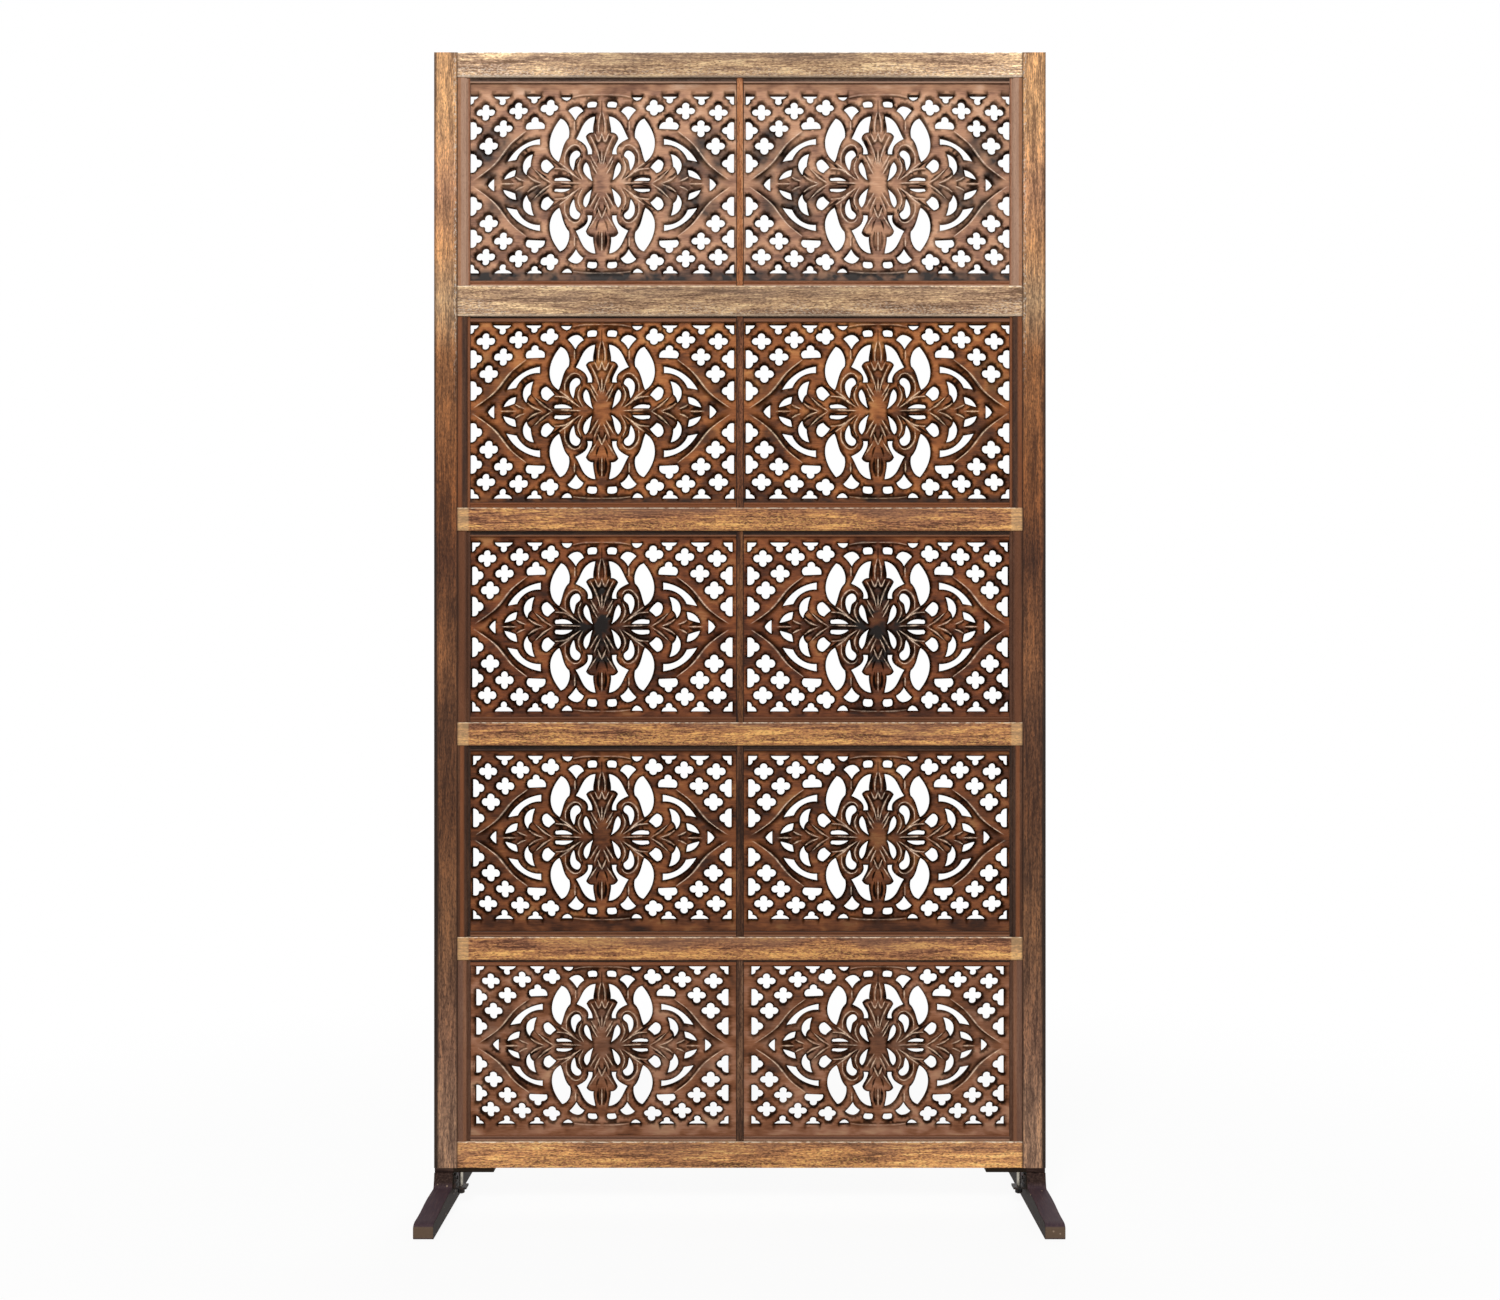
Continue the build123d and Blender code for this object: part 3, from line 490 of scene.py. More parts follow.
def mango_carved(name, seed, levels, tones, bare, grime_and_shade, shares, fall, scorched):
    """Mango wood board, cut with gouges, stained, scorched along the cuts and rubbed back.

    The stain lies black where the gouge went deep and along every hole's edge, and the same dark
    also paints the shade in the gouges and valleys. The ridges that a cloth reaches are rubbed to
    bare pinkish wood, which is also their painted highlight.
    """
    material, tree = new_material(name)
    clouds = noise(tree, "X", 46 * MM, 26 * MM, seed)
    grain = noise(tree, "X", 16 * MM, 2.2 * MM, seed + 4)
    tone = add(tree, "Math", (clouds, -0.15), operation="ADD")
    tone = add(tree, "Math", (grain, 0.3, tone), operation="MULTIPLY_ADD")
    lift = (place_of(tree)["Z"], *levels, -0.5 * fall, 0.5 * fall)
    tone = add(tree, "Math", (tone, add(tree, "MapRange", lift)), operation="ADD")
    ramp = add(tree, "ValToRGB", (tone,), stops=tuple(zip(FIVE_CARVED, tones)))
    patches = noise(tree, "X", 30 * MM, 24 * MM, seed + 9)
    patches = add(tree, "MapRange", (patches, 0.40, 0.60, 0.55, 1.0))
    *grime_and_shade_masks, stain, ridge = (
        add(tree, "Attribute", attribute_name=attribute).outputs["Fac"]
        for attribute in (*GRIME_AND_SHADE, "stain", "worn")
    )
    spread = noise(tree, "X", 26 * MM, 22 * MM, seed + 6, 1.0)
    spread = add(tree, "MapRange", (spread, 0.36, 0.60, *scorched))
    broken = noise(tree, "X", 8 * MM, 6 * MM, seed + 2)
    broken = add(tree, "MapRange", (broken, 0.38, 0.60, 0.30, 1.0))
    colour = layered(
        tree,
        ramp,
        # grime blots at the sides and in the middle, and painted shade at the foot
        *((grime_and_shade, grime, patches, share) for grime, share in zip(grime_and_shade_masks, shares)),
        # the scorch and stain, and the painted shade in the gouges and valleys
        (bpy.context.scene.jali_colours.burn_and_shade[:], stain, spread),
        # bare wood and painted highlight on the ridges
        (bare, ridge, broken),
    )
    # scorched wood has soaked up its wax and is dead matt
    waxed = {
        "Base Color": colour,
        "Roughness": add(tree, "MapRange", (stain, 0.1, 0.7, 0.5, 0.9)),
        "IOR": 1.5,
        "Specular IOR Level": add(tree, "MapRange", (stain, 0.1, 0.7, 0.14, 0.01)),
    }
    return coat(material, waxed, (grain, 0.35, 0.4 * MM))


# ---- carved boards

# Every cut is drawn in millimetres from the middle of the pattern, for one quarter of it.
# A ridge: its points, and which side has a valley (0 both, 1 the side towards the middle).
SHARED_RIDGES = (
    (((118, 80), (143, 60), (165, 33), (181, 19), (200, 6)), 1),
    (((32, 51), (37, 57), (45, 58), (53, 52), (58, 42), (58, 28)), 0),
    (((30, 7), (36, 18), (37, 28), (33, 38)), 0),
    (((34, 6), (45, 14), (55, 23), (66, 31), (75, 39)), 0),
    (((37, 8), (55, 20), (66, 22.5), (77, 23)), 0),
    (((43, 95), (43, 80)), 0),
    (((80, 1.5), (92, 9), (105, 21)), 0),
    (((95, 1), (108, 6), (118, 13.5)), 0),
    (((122, 4), (129, 6.5), (136, 10.5)), 0),
    (((138, 0), (158, 0)), 0),
)
UPPER_RIDGES = (
    (((0, 133.5), (24, 133.3), (38, 131.5), (50, 128.5)), 0),
    (((1.5, 107), (4.2, 96), (5.2, 85), (4.6, 76)), 0),
    (((0, 76), (5, 64), (11, 75)), 0),
    (((18.4, 72), (13.2, 62.5), (9.2, 53.5), (5.2, 42), (2, 29)), 0),
    (((0, 30), (0, 50)), 0),
    (((6.5, 24), (12, 33), (18.4, 44.6)), 0),
    (((7.5, 15), (13, 25), (17.5, 35)), 0),
    (((34, 0.8), (55, 1.8), (76, 2.4)), 0),
)
LOWER_RIDGES = (
    (((0, 134), (26, 133.5), (49, 131)), 0),
    (((6.5, 14), (12.5, 24), (18.4, 34.4)), 0),
    (((3, 20), (8, 30), (12, 40)), 0),
    (((0, 52), (3.5, 44), (6.5, 36)), 0),
    (((9, 50), (15, 59), (21, 68)), 0),
    (((0, 72), (0, 86), (0, 101)), 0),
)
# A gouge: its middle line, its greatest width and its depth.
SHARED_GOUGES = (
    (((141, 4), (149, 5), (156, 3)), 5.0, 1.4),
    (((84, 7), (96, 14), (108, 22)), 6.0, 1.2),
    (((103, 8), (112, 12), (119, 19)), 5.0, 1.1),
    (((60, 21), (70, 29), (81, 37)), 3.2, 1.5),
    (((36, 8), (42, 15), (45, 19)), 4.0, 1.2),
    (((30, 44), (33, 37), (40, 30)), 4.0, 1.1),
)
UPPER_GOUGES = (
    (((0, 102), (0, 112), (0, 124)), 2.6, 1.2),
    (((0, 80), (0, 92), (0, 101)), 2.2, 0.8),
    (((9.8, 101), (10.6, 88), (9.6, 75)), 7.0, 2.2),
    (((22, 70), (17, 58), (12, 45)), 7.0, 2.2),
    (((3.5, 46), (5, 37), (7.5, 30)), 3.2, 1.2),
    (((10, 20), (14, 28), (17.5, 36)), 3.2, 1.4),
)
LOWER_GOUGES = (
    (((3, 30), (6, 38), (9, 46)), 4.0, 1.4),
    (((14, 42), (17, 52), (23, 62)), 5.0, 1.8),
    (((4, 54), (7, 60), (9, 68)), 4.0, 1.4),
    (((5.6, 73), (6.6, 86), (3.8, 100)), 6.0, 2.0),
    (((34, 0.8), (55, 1.5), (74, 2.4)), 2.4, 1.0),
)
RIDGES = (SHARED_RIDGES, UPPER_RIDGES, LOWER_RIDGES)
GOUGES = (SHARED_GOUGES, UPPER_GOUGES, LOWER_GOUGES)
# masks of grime blots at the sides and in the middle, and of painted shade at the foot
GRIME_AND_SHADE = ("side_grime", "middle_grime", "foot_grime")
# Blots of grime that the cloth left: middle and radius.
SIDE_GRIME = (
    (166, 64, 26), (146, 40, 24), (186, 40, 22), (128, 20, 18), (176, 8, 16),
    (104, -14, 20), (136, -26, 26), (122, -48, 22), (166, -36, 18),
)
MIDDLE_GRIME = (
    (14, 14, 34), (14, -12, 32), (42, 2, 28), (62, 8, 22), (60, -8, 22),
    (8, 50, 24), (8, -44, 20),
)
PATTERN_HALF = (207.5, 134.0)
FIELD_EDGE = (209.0, 136.0)  # the plain border starts here
FRONT_STEP, BACK_STEP = 6.0, 25.0  # longest step between points on a board's outer edge
CUT_GAP = 0.7  # points along the cuts stand this far apart
EDGE_GAP = 0.75  # and this far from a hole's edge
BACK_ARRIS, BACK_DROP, BACK_STAIN = 1.0, 0.5, 2.5  # rounding and stain behind the holes
# rings of points round a hole: their offset in widths of its rounding, and for how
# many points of its outline there is one in the ring
RINGS = ((0.45, 1), (1.0, 2), (1.9, 3))
RING_TRUE = 0.93  # a ring's point that is nearer than this share of its offset is left out
TRIANGLE_RISE = 0.866  # height of a triangle with equal sides of 1
BACK_GAP = 0.6  # least spacing of the points round the back's holes
# in steps of the grid, how far its points stay from a hole and from other points
GRID_FROM_HOLE, GRID_GAP = 0.5, 0.72
EDGE_ROW = 126  # cuts and grime beyond this height lie along the pattern's edge
# the scorch at a hole's edge: how far it reaches and fades, in widths of the rounding
SCORCH_REACH, SCORCH_FADE = 2.05, 1.15
FAR = 1e9
# a one-sided valley is deeper and runs out over this many valley offsets
LONG_VALLEY, LONG_DEEPER = 4.4, 1.3
OUTER_VALLEY = 0.55  # depth of the valley on a ridge's outer side, as a share of the inner
EDGE_RUB_AND_HIGHLIGHT = 0.4  # how far a ridge along the pattern's edge is rubbed bare and given its painted highlight


def curve_through(points, step=1.2):
    """Points along a Catmull-Rom curve through given ones, and each one's share along."""
    given = np.array(points, float)
    if len(given) == 2:
        length = np.linalg.norm(given[1] - given[0])
        shares = np.linspace(0, 1, max(2, int(length / step) + 1))
        return given[0] + shares[:, None] * (given[1] - given[0]), shares
    padded = np.vstack([2 * given[0] - given[1], given, 2 * given[-1] - given[-2]])
    places = []
    for a, b, c, d in zip(padded, padded[1:], padded[2:], padded[3:]):
        count = max(2, int(np.linalg.norm(c - b) / step) + 1)
        t = np.linspace(0, 1, count, endpoint=False)[:, None]
        part = 0.5 * (2 * b + (c - a) * t + (2 * a - 5 * b + 4 * c - d) * t**2)
        places.append(part + 0.5 * (3 * b - a - 3 * c + d) * t**3)
    places.append(given[-1:])
    line = np.vstack(places)
    along = np.concatenate([[0], np.cumsum(np.linalg.norm(np.diff(line, axis=0), axis=1))])
    return line, along / along[-1]


def nearest_on_line(points, line, shares):
    """Distance of each point to a line, its side (+1 on the left) and its share along."""
    best = np.full(len(points), FAR)
    side, where = np.ones(len(points)), np.zeros(len(points))
    for a, b, share_a, share_b in zip(line, line[1:], shares, shares[1:]):
        run = b - a
        length = max(run @ run, 1e-12)
        t = np.clip(((points - a) @ run) / length, 0, 1)
        off = points - a - t[:, None] * run
        distance = np.hypot(off[:, 0], off[:, 1])
        closer = distance < best
        best[closer] = distance[closer]
        turn = run[0] * (points[:, 1] - a[1]) - run[1] * (points[:, 0] - a[0])
        side[closer] = np.sign(turn[closer])
        where[closer] = (share_a + t * (share_b - share_a))[closer]
    return best, side, where


def front_loops(node):
    """Closed outlines on a CAD board's front face, in mm of X and Z, the widest first.

    Corners within a micrometre are one.
    """
    mesh = node.data
    corners = np.zeros(len(mesh.vertices) * 3)
    mesh.vertices.foreach_get("co", corners)
    whole = np.round(corners.reshape(-1, 3) * MICROMETRES).astype(np.int64)
    merged, index = np.unique(whole, axis=0, return_inverse=True)
    index = index.ravel()
    face_level = whole[:, 1].min()
    used = {}
    for polygon in mesh.polygons:
        ring = [index[v] for v in polygon.vertices]
        if all(merged[v][1] == face_level for v in ring):
            for a, b in zip(ring, ring[1:] + ring[:1]):
                key = (min(a, b), max(a, b))
                used[key] = used.get(key, 0) + 1
    beside = {}
    for (a, b), count in sorted(used.items()):
        if count == 1:
            beside.setdefault(a, []).append(b)
            beside.setdefault(b, []).append(a)
    loops, seen = [], set()
    for start in sorted(beside):
        if start in seen:
            continue
        loop, before, here = [start], None, start
        seen.add(start)
        while True:
            after = next(v for v in beside[here] if v != before)
            if after == start:
                break
            loop.append(after)
            seen.add(after)
            before, here = here, after
        loops.append(merged[loop][:, [0, 2]] * 1e-3)  # from micrometres
    loops.sort(key=lambda loop: -np.ptp(loop[:, 0]))
    return loops


def signed_area(loop):
    """Area of a closed outline, positive when it runs anticlockwise."""
    after = np.roll(loop, -1, axis=0)
    return 0.5 * np.sum(loop[:, 0] * after[:, 1] - loop[:, 1] * after[:, 0])


def normals(runs):
    """Unit vectors to the left of the given runs."""
    length = np.maximum(np.linalg.norm(runs, axis=1), 1e-9)[:, None]
    return np.stack([-runs[:, 1], runs[:, 0]], axis=1) / length


class Sieve:
    """Keeps points that stand clear of those already kept."""

    def __init__(self, cell):
        self.cell = cell
        self.bins = {}
        self.points = []

    def bin_of(self, point):
        """Column and line of a point's bin."""
        return int(point[0] // self.cell), int(point[1] // self.cell)

    def keep(self, point):
        """Keep a point without asking, and return its number."""
        place = (float(point[0]), float(point[1]))
        self.bins.setdefault(self.bin_of(place), []).append(place)
        self.points.append(place)
        return len(self.points) - 1

    def offer(self, point, gap):
        """Keep a point if nothing kept lies within the gap."""
        reach = math.ceil(gap / self.cell)
        column, line = self.bin_of(point)
        for i in range(column - reach, column + reach + 1):
            for j in range(line - reach, line + reach + 1):
                for x, y in self.bins.get((i, j), ()):
                    if math.hypot(point[0] - x, point[1] - y) < gap:
                        return
        self.keep(point)


def mirrored_cuts(shared, upper, lower):
    """Every cut of the whole pattern, mirrored from its quarter or half."""
    for cuts, heights in ((shared, (1, -1)), (upper, (1,)), (lower, (-1,))):
        for cut in cuts:
            for up in heights:
                for across in (1, -1):
                    yield [(across * x, up * y) for x, y in cut[0]], cut, across * up


class BoardTemplate:
    """One board's carving, drawn once in pattern space and stretched to every row."""

    def __init__(self, node):
        sizes = bpy.context.scene.jali_carving
        self.valley = sizes.ridge_valley / MM
        self.ridge_depth = sizes.ridge_depth / MM
        self.arris = sizes.arris / MM
        self.arris_depth = sizes.arris_depth / MM
        self.grid = sizes.grid / MM
        loops = front_loops(node)
        middle, stretch = hole_field(loops[1:])
        self.loops = []
        for number, loop in enumerate(loops):
            placed = (loop - middle) / stretch
            clockwise = signed_area(placed) < 0
            # the outer edge runs anticlockwise and the holes clockwise
            self.loops.append(placed if clockwise == (number > 0) else placed[::-1])
        holes = self.loops[1:]
        self.edge_points = np.vstack(holes)
        self.edge_ends = [
            np.vstack([np.roll(loop, step, axis=0) for loop in holes]) for step in (-1, 1)
        ]
        self.tree = KDTree(len(self.edge_points))
        for number, (x, y) in enumerate(self.edge_points):
            self.tree.insert((x, y, 0.0), number)
        self.tree.balance()
        self.front = self.triangulate(carved=True)
        self.back = self.triangulate(carved=False)
        self.depth, *self.tints = self.relief(self.front[0])

    def hole_distance(self, points):
        """Distance from each point to the nearest hole's edge."""
        found = np.array([self.tree.find((x, y, 0.0))[1] for x, y in points], int)
        best = np.full(len(points), FAR)
        for ends in self.edge_ends:
            a, run = self.edge_points[found], ends[found] - self.edge_points[found]
            length = np.maximum(np.sum(run * run, axis=1), 1e-12)
            t = np.clip(np.sum((points - a) * run, axis=1) / length, 0, 1)
            off = points - a - t[:, None] * run
            best = np.minimum(best, np.hypot(off[:, 0], off[:, 1]))
        return best

    def ring_points(self, offset, every):
        """Points beside the holes' edges, at an offset into the wood."""
        rings = []
        for loop in self.loops[1:]:
            run = np.roll(loop, -1, axis=0) - np.roll(loop, 1, axis=0)
            rings.append((loop + offset * normals(run))[::every])
        points = np.vstack(rings)
        return points[self.hole_distance(points) > RING_TRUE * offset]

    def cut_points(self):
        """Rows of points along every ridge and gouge, and beside them."""
        crest = 0.4 * self.valley
        for points, _, _ in mirrored_cuts(*RIDGES):
            line, _ = curve_through(points)
            for offset in (0, -crest, crest, -self.valley, self.valley):
                yield line + offset * normals(np.gradient(line, axis=0))
        for points, (_, width, _), _ in mirrored_cuts(*GOUGES):
            line, _ = curve_through(points, 1.5)
            for share in (0, -0.25, 0.25, -0.5, 0.5):
                yield line + share * width * normals(np.gradient(line, axis=0))

    def inside(self, points):
        """Whether each point lies in the wood, by crossings of a level ray."""
        crossings = np.zeros(len(points), int)
        order = np.argsort(points[:, 1])
        level = points[order, 1]
        for loop in self.loops:
            after = np.roll(loop, -1, axis=0)
            for (x0, y0), (x1, y1) in zip(loop, after):
                if y0 == y1:
                    continue
                low, high = (y0, y1) if y0 < y1 else (y1, y0)
                first, last = np.searchsorted(level, (low, high))
                rows = order[first:last]
                x = x0 + (points[rows, 1] - y0) / (y1 - y0) * (x1 - x0)
                crossings[rows] += x > points[rows, 0]
        return crossings % 2 == 1

    def triangulate(self, carved):
        """Triangles over the wood between the outlines."""
        sieve = Sieve(1.0)
        edges, rings = [], []
        outer = self.loops[0]
        low, high = outer.min(axis=0), outer.max(axis=0)
        for loop in (subdivided(outer, FRONT_STEP if carved else BACK_STEP), *self.loops[1:]):
            ring = [sieve.keep(point) for point in loop]
            edges += zip(ring, ring[1:] + ring[:1])
            rings.append(ring)
        if carved:
            for line in self.cut_points():
                for point in line[self.hole_distance(line) > EDGE_GAP]:
                    sieve.offer(point, CUT_GAP)
            for share, every in RINGS:
                offset = share * self.arris
                for point in self.ring_points(offset, every):
                    sieve.offer(point, 0.45 * offset + 0.15)
        else:
            for point in self.ring_points(BACK_ARRIS, 2):
                sieve.offer(point, BACK_GAP)
        # the plain back needs fewer points
        step = self.grid if carved else 4 * self.grid
        columns = np.arange(low[0] + step / 2, high[0], step)
        lines = np.arange(low[1] + step / 2, high[1], step * TRIANGLE_RISE)
        grid = np.array([
            (x + (step / 2 if j % 2 else 0), y) for j, y in enumerate(lines) for x in columns
        ])
        grid = grid[(grid[:, 0] < high[0] - 1) & (grid[:, 1] < high[1] - 1)]
        for point in grid[self.hole_distance(grid) > GRID_FROM_HOLE * step]:
            sieve.offer(point, GRID_GAP * step)
        flat = [Vector(point) for point in sieve.points]
        made = delaunay_2d_cdt(flat, edges, [], 0, 1e-6)
        places = np.array([tuple(v) for v in made[0]])
        faces = np.array([face for face in made[2] if len(face) == 3])
        faces = faces[self.inside(places[faces].mean(axis=1))]
        used, compact = np.unique(faces, return_inverse=True)
        compact_number = {int(old): new for new, old in enumerate(used)}
        number = {
            source: compact_number.get(old)
            for old, sources in enumerate(made[3])
            for source in sources
        }
        rims = [[number[point] for point in ring] for ring in rings]
        return places[used], compact.reshape(-1, 3), rims

    def relief(self, points):
        """Depth of the carving, its stain and painted shade, its worn ridges with their painted
        highlight, and its grime and painted shade at the foot, at each point.
        """
        depth, stain, worn = np.zeros((3, len(points)))
        for middle_line, (_, width, greatest), _ in mirrored_cuts(*GOUGES):
            line, shares = curve_through(middle_line, 2.0)
            rows = rows_near(points, line, width)
            distance, _, where = nearest_on_line(points[rows], line, shares)
            # a gouge is narrow and shallow at its ends, and round in section
            taper = np.sin(np.pi * np.clip(where, 0.04, 0.96)) ** 0.5
            across = np.clip(distance / (0.5 * width * taper), 0, 1)
            cup = (1 - across**2) ** 1.2
            depth[rows] = np.maximum(depth[rows], greatest * taper * cup)
            # stain pools in the gouge, and the same mask paints its shade
            stain[rows] = np.maximum(stain[rows], np.clip(1.8 * cup, 0, 1))
        for ridge_line, (_, one_sided), hand in mirrored_cuts(*RIDGES):
            line, shares = curve_through(ridge_line)
            reach = (LONG_VALLEY if one_sided else 2) * self.valley
            rows = rows_near(points, line, reach + 1)
            distance, side, where = nearest_on_line(points[rows], line, shares)
            ends = np.clip(8 * np.minimum(where, 1 - where) + 0.25, 0, 1)
            if one_sided:
                # the valley runs out gently towards the middle of the board, and shade is painted
                # in it
                inner = side * hand < 0
                fall = np.clip(distance / self.valley, 0, 1)
                rise = np.clip((reach - distance) / (reach - self.valley), 0, 1)
                cut = LONG_DEEPER * self.ridge_depth * np.where(inner, fall * rise, 0)
                shade = np.where(inner, rise * fall, 0)
            else:
                # a valley on each side, the outer one shallower, with shade painted in each
                fall = np.clip(1 - np.abs(distance - self.valley) / self.valley, 0, 1)
                share = np.where(side * hand < 0, 1.0, OUTER_VALLEY)
                cut = self.ridge_depth * fall * share
                shade = 0.9 * fall * share**1.5
            # the ridge itself is left standing, thin at its ends, and is rubbed bare, which is
            # also its painted highlight
            thickness = 0.3 * self.valley * (0.2 + 0.8 * np.sin(np.pi * where) ** 0.7)
            here = np.clip(1.6 - distance / thickness, 0, 1)
            crest = np.clip(distance / self.valley, 0, 1)
            depth[rows] = np.maximum(depth[rows] * crest, cut * ends)
            stain[rows] = np.maximum(stain[rows] * (1 - here), shade * ends)
            rubbed = EDGE_RUB_AND_HIGHLIGHT if abs(ridge_line[0][1]) > EDGE_ROW else 1.0
            worn[rows] = np.maximum(worn[rows], rubbed * ends * here)
        gap = self.hole_distance(points)
        round_off = np.clip(1 - gap / self.arris, 0, 1) ** 2
        depth = depth + self.arris_depth * round_off * (1 - 0.5 * depth / (depth + 1))
        scorch = np.clip((SCORCH_REACH - gap / self.arris) / SCORCH_FADE, 0, 1)
        stain = np.maximum(stain, scorch)
        worn = worn * (1 - np.clip(1.4 * scorch, 0, 1))
        # painted shade: the strip above the field is darker under the bead and rail, and the foot
        # is darker where it meets the bead
        head = np.clip((points[:, 1] - FIELD_EDGE[1]) / 12, 0, 0.35)
        stain = np.maximum(stain, head)
        foot = np.clip((-points[:, 1] - EDGE_ROW) / 9, 0, 1)
        return depth, stain, worn, blots(points, SIDE_GRIME), blots(points, MIDDLE_GRIME), foot


def blots(points, places):
    """Soft round blots, the same to the left and the right of the middle."""
    total = np.zeros(len(points))
    for x, y, radius in places:
        distance = np.hypot(np.abs(points[:, 0]) - x, points[:, 1] - y)
        total = np.maximum(total, np.clip(1.7 - 1.4 * distance / radius, 0, 1))
    return total


def rows_near(points, line, reach):
    """Rows of the points that may lie within reach of a line."""
    low, high = line.min(axis=0) - reach, line.max(axis=0) + reach
    return np.flatnonzero(np.all((points > low) & (points < high), axis=1))


def hole_field(holes):
    """Middle of the box round every hole, and how far the pattern is stretched to fill it."""
    corners = np.vstack(holes)
    low, high = corners.min(axis=0), corners.max(axis=0)
    return (low + high) / 2, (high - low) / 2 / np.array(PATTERN_HALF)


def subdivided(loop, step):
    """A closed outline with extra points on its long straight runs."""
    placed = []
    for a, b in zip(loop, np.roll(loop, -1, axis=0)):
        count = max(1, int(np.linalg.norm(b - a) // step))
        placed += [a + (b - a) * k / count for k in range(count)]
    return np.array(placed)


def build_board(template, row, side_name, material):
    """Stretch the template to one board of a row and build its mesh."""
    side = SIDES[side_name]
    node_name = f"carved_board_{row}_{side_name}"
    low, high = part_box(node_name)
    middle, stretch = hole_field(front_loops(NODES[node_name])[1:])
    middle[0] *= side
    inner, outer = sorted((side * low.x, side * high.x))
    board_low, board_high = (inner / MM, low.z / MM), (outer / MM, high.z / MM)
    template_low, template_high = template.loops[0].min(axis=0), template.loops[0].max(axis=0)

    def placed(points, level):
        """Pattern space to this board's own millimetres, at a level in its thickness."""
        across, up = (
            np.interp(
                points[:, k],
                [template_low[k], -edge, edge, template_high[k]],
                [
                    board_low[k],
                    middle[k] - edge * stretch[k],
                    middle[k] + edge * stretch[k],
                    board_high[k],
                ],
            )
            for k, edge in enumerate(FIELD_EDGE)
        )
        return np.column_stack([side * across, level, up])

    front_points, front_faces, _ = template.front
    back_points, back_faces, _ = template.back
    back_gap = template.hole_distance(back_points)
    back_drop = BACK_DROP * np.clip(1 - back_gap / BACK_ARRIS, 0, 1) ** 2
    vertices = np.vstack([
        placed(front_points, low.y / MM + template.depth),
        placed(back_points, high.y / MM - back_drop),
    ])
    back_stain = 0.75 * np.clip(1 - back_gap / BACK_STAIN, 0, 1)
    bare = np.zeros(len(back_points))
    count = len(front_points)
    triangles = np.vstack([
        front_faces,
        back_faces[:, ::-1] + count,
        wall_faces(template, count),
    ])
    if side < 0:
        triangles = triangles[:, ::-1]
    mesh = bpy.data.meshes.new(f"carved_{row}_{side_name}")
    mesh.from_pydata((vertices * MM).tolist(), [], triangles.tolist())
    for name, values in zip(("stain", "worn", *GRIME_AND_SHADE), template.tints):
        behind = back_stain if name == "stain" else bare
        attribute = mesh.attributes.new(name, "FLOAT", "POINT")
        attribute.data.foreach_set("value", np.concatenate([values, behind]).astype(np.float32))
    mesh.polygons.foreach_set("use_smooth", [True] * len(mesh.polygons))
    mesh.set_sharp_from_angle(angle=math.radians(50))
    mesh.materials.append(material)
    board = bpy.data.objects.new(f"board_{row}_{side_name}", mesh)
    bpy.context.scene.collection.objects.link(board)
    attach(board, "root")
    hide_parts(node_name)


def wall_faces(template, shift):
    """Triangles that join the front's outlines to the back's."""
    front_rims, back_rims = template.front[2], template.back[2]
    faces = []
    for front, back in zip(front_rims[1:], back_rims[1:]):
        back = [number + shift for number in back]
        for fa, fb, ba, bb in zip(front, front[1:] + front[:1], back, back[1:] + back[:1]):
            faces += [(fb, fa, ba), (fb, ba, bb)]
    fine = subdivided(template.loops[0], FRONT_STEP)
    coarse = subdivided(template.loops[0], BACK_STEP)
    coarse_rim = [number + shift for number in back_rims[0]]
    faces += zipped(fine, front_rims[0], coarse, coarse_rim)
    return np.array(faces)


def zipped(fine, fine_keys, coarse, coarse_keys):
    """Strip of triangles between a closed outline and a coarser copy of it."""

    def lengths(loop):
        """Distance along an outline to each of its points, and all the way round."""
        runs = np.linalg.norm(np.roll(loop, -1, axis=0) - loop, axis=1)
        return np.concatenate([[0], np.cumsum(runs)])

    fine_run, coarse_run = lengths(fine), lengths(coarse)
    faces, i, j = [], 0, 0
    while i < len(fine) or j < len(coarse):
        a, b = fine_keys[i % len(fine)], coarse_keys[j % len(coarse)]
        if j >= len(coarse) or (i < len(fine) and fine_run[i + 1] <= coarse_run[j + 1]):
            faces.append((fine_keys[(i + 1) % len(fine)], a, b))
            i += 1
        else:
            faces.append((a, b, coarse_keys[(j + 1) % len(coarse)]))
            j += 1
    return faces


BOARD_TONES = {
    # stain from the pores to the rubbed field, the bare ridges with their painted highlight, the
    # grime and painted shade, shares of grime at the sides and in the middle and of painted shade
    # at the foot, how much paler the top is, and the least and greatest share of the scorch and
    # its painted shade
    "row_1": (
        ("#604437", "#8C6450", "#AC7F64", "#C09070", "#D6AC8F"),
        "#F4D8C0", "#2E2927", (0.95, 0.05, 1.10), 0.13, (0.60, 1.0),
    ),
    "row_2": (
        ("#3A1E10", "#61361C", "#884F2A", "#A26337", "#BA7F4A"),
        "#FADCBA", "#20150F", (0.70, 0.15, 0.90), 0.15, (0.85, 1.0),
    ),
    "row_3": (
        ("#28140A", "#4A2512", "#6B3A20", "#854B29", "#A06C42"),
        "#F4D6BC", "#110A07", (0.22, 1.10, 0.30), 0.13, (0.95, 1.0),
    ),
    "row_4": (
        ("#2A160C", "#4C2813", "#6C3D22", "#834D2B", "#9C6B41"),
        "#F4D8BE", "#160D0A", (0.35, 0.40, 0.45), 0.02, (0.95, 1.0),
    ),
    "row_5": (
        ("#4A2E1E", "#6E4229", "#84553A", "#996B52", "#AB8163"),
        "#F0D2B6", "#2D2623", (0.50, 0.48, 0.15), -0.12, (0.68, 1.0),
    ),
}


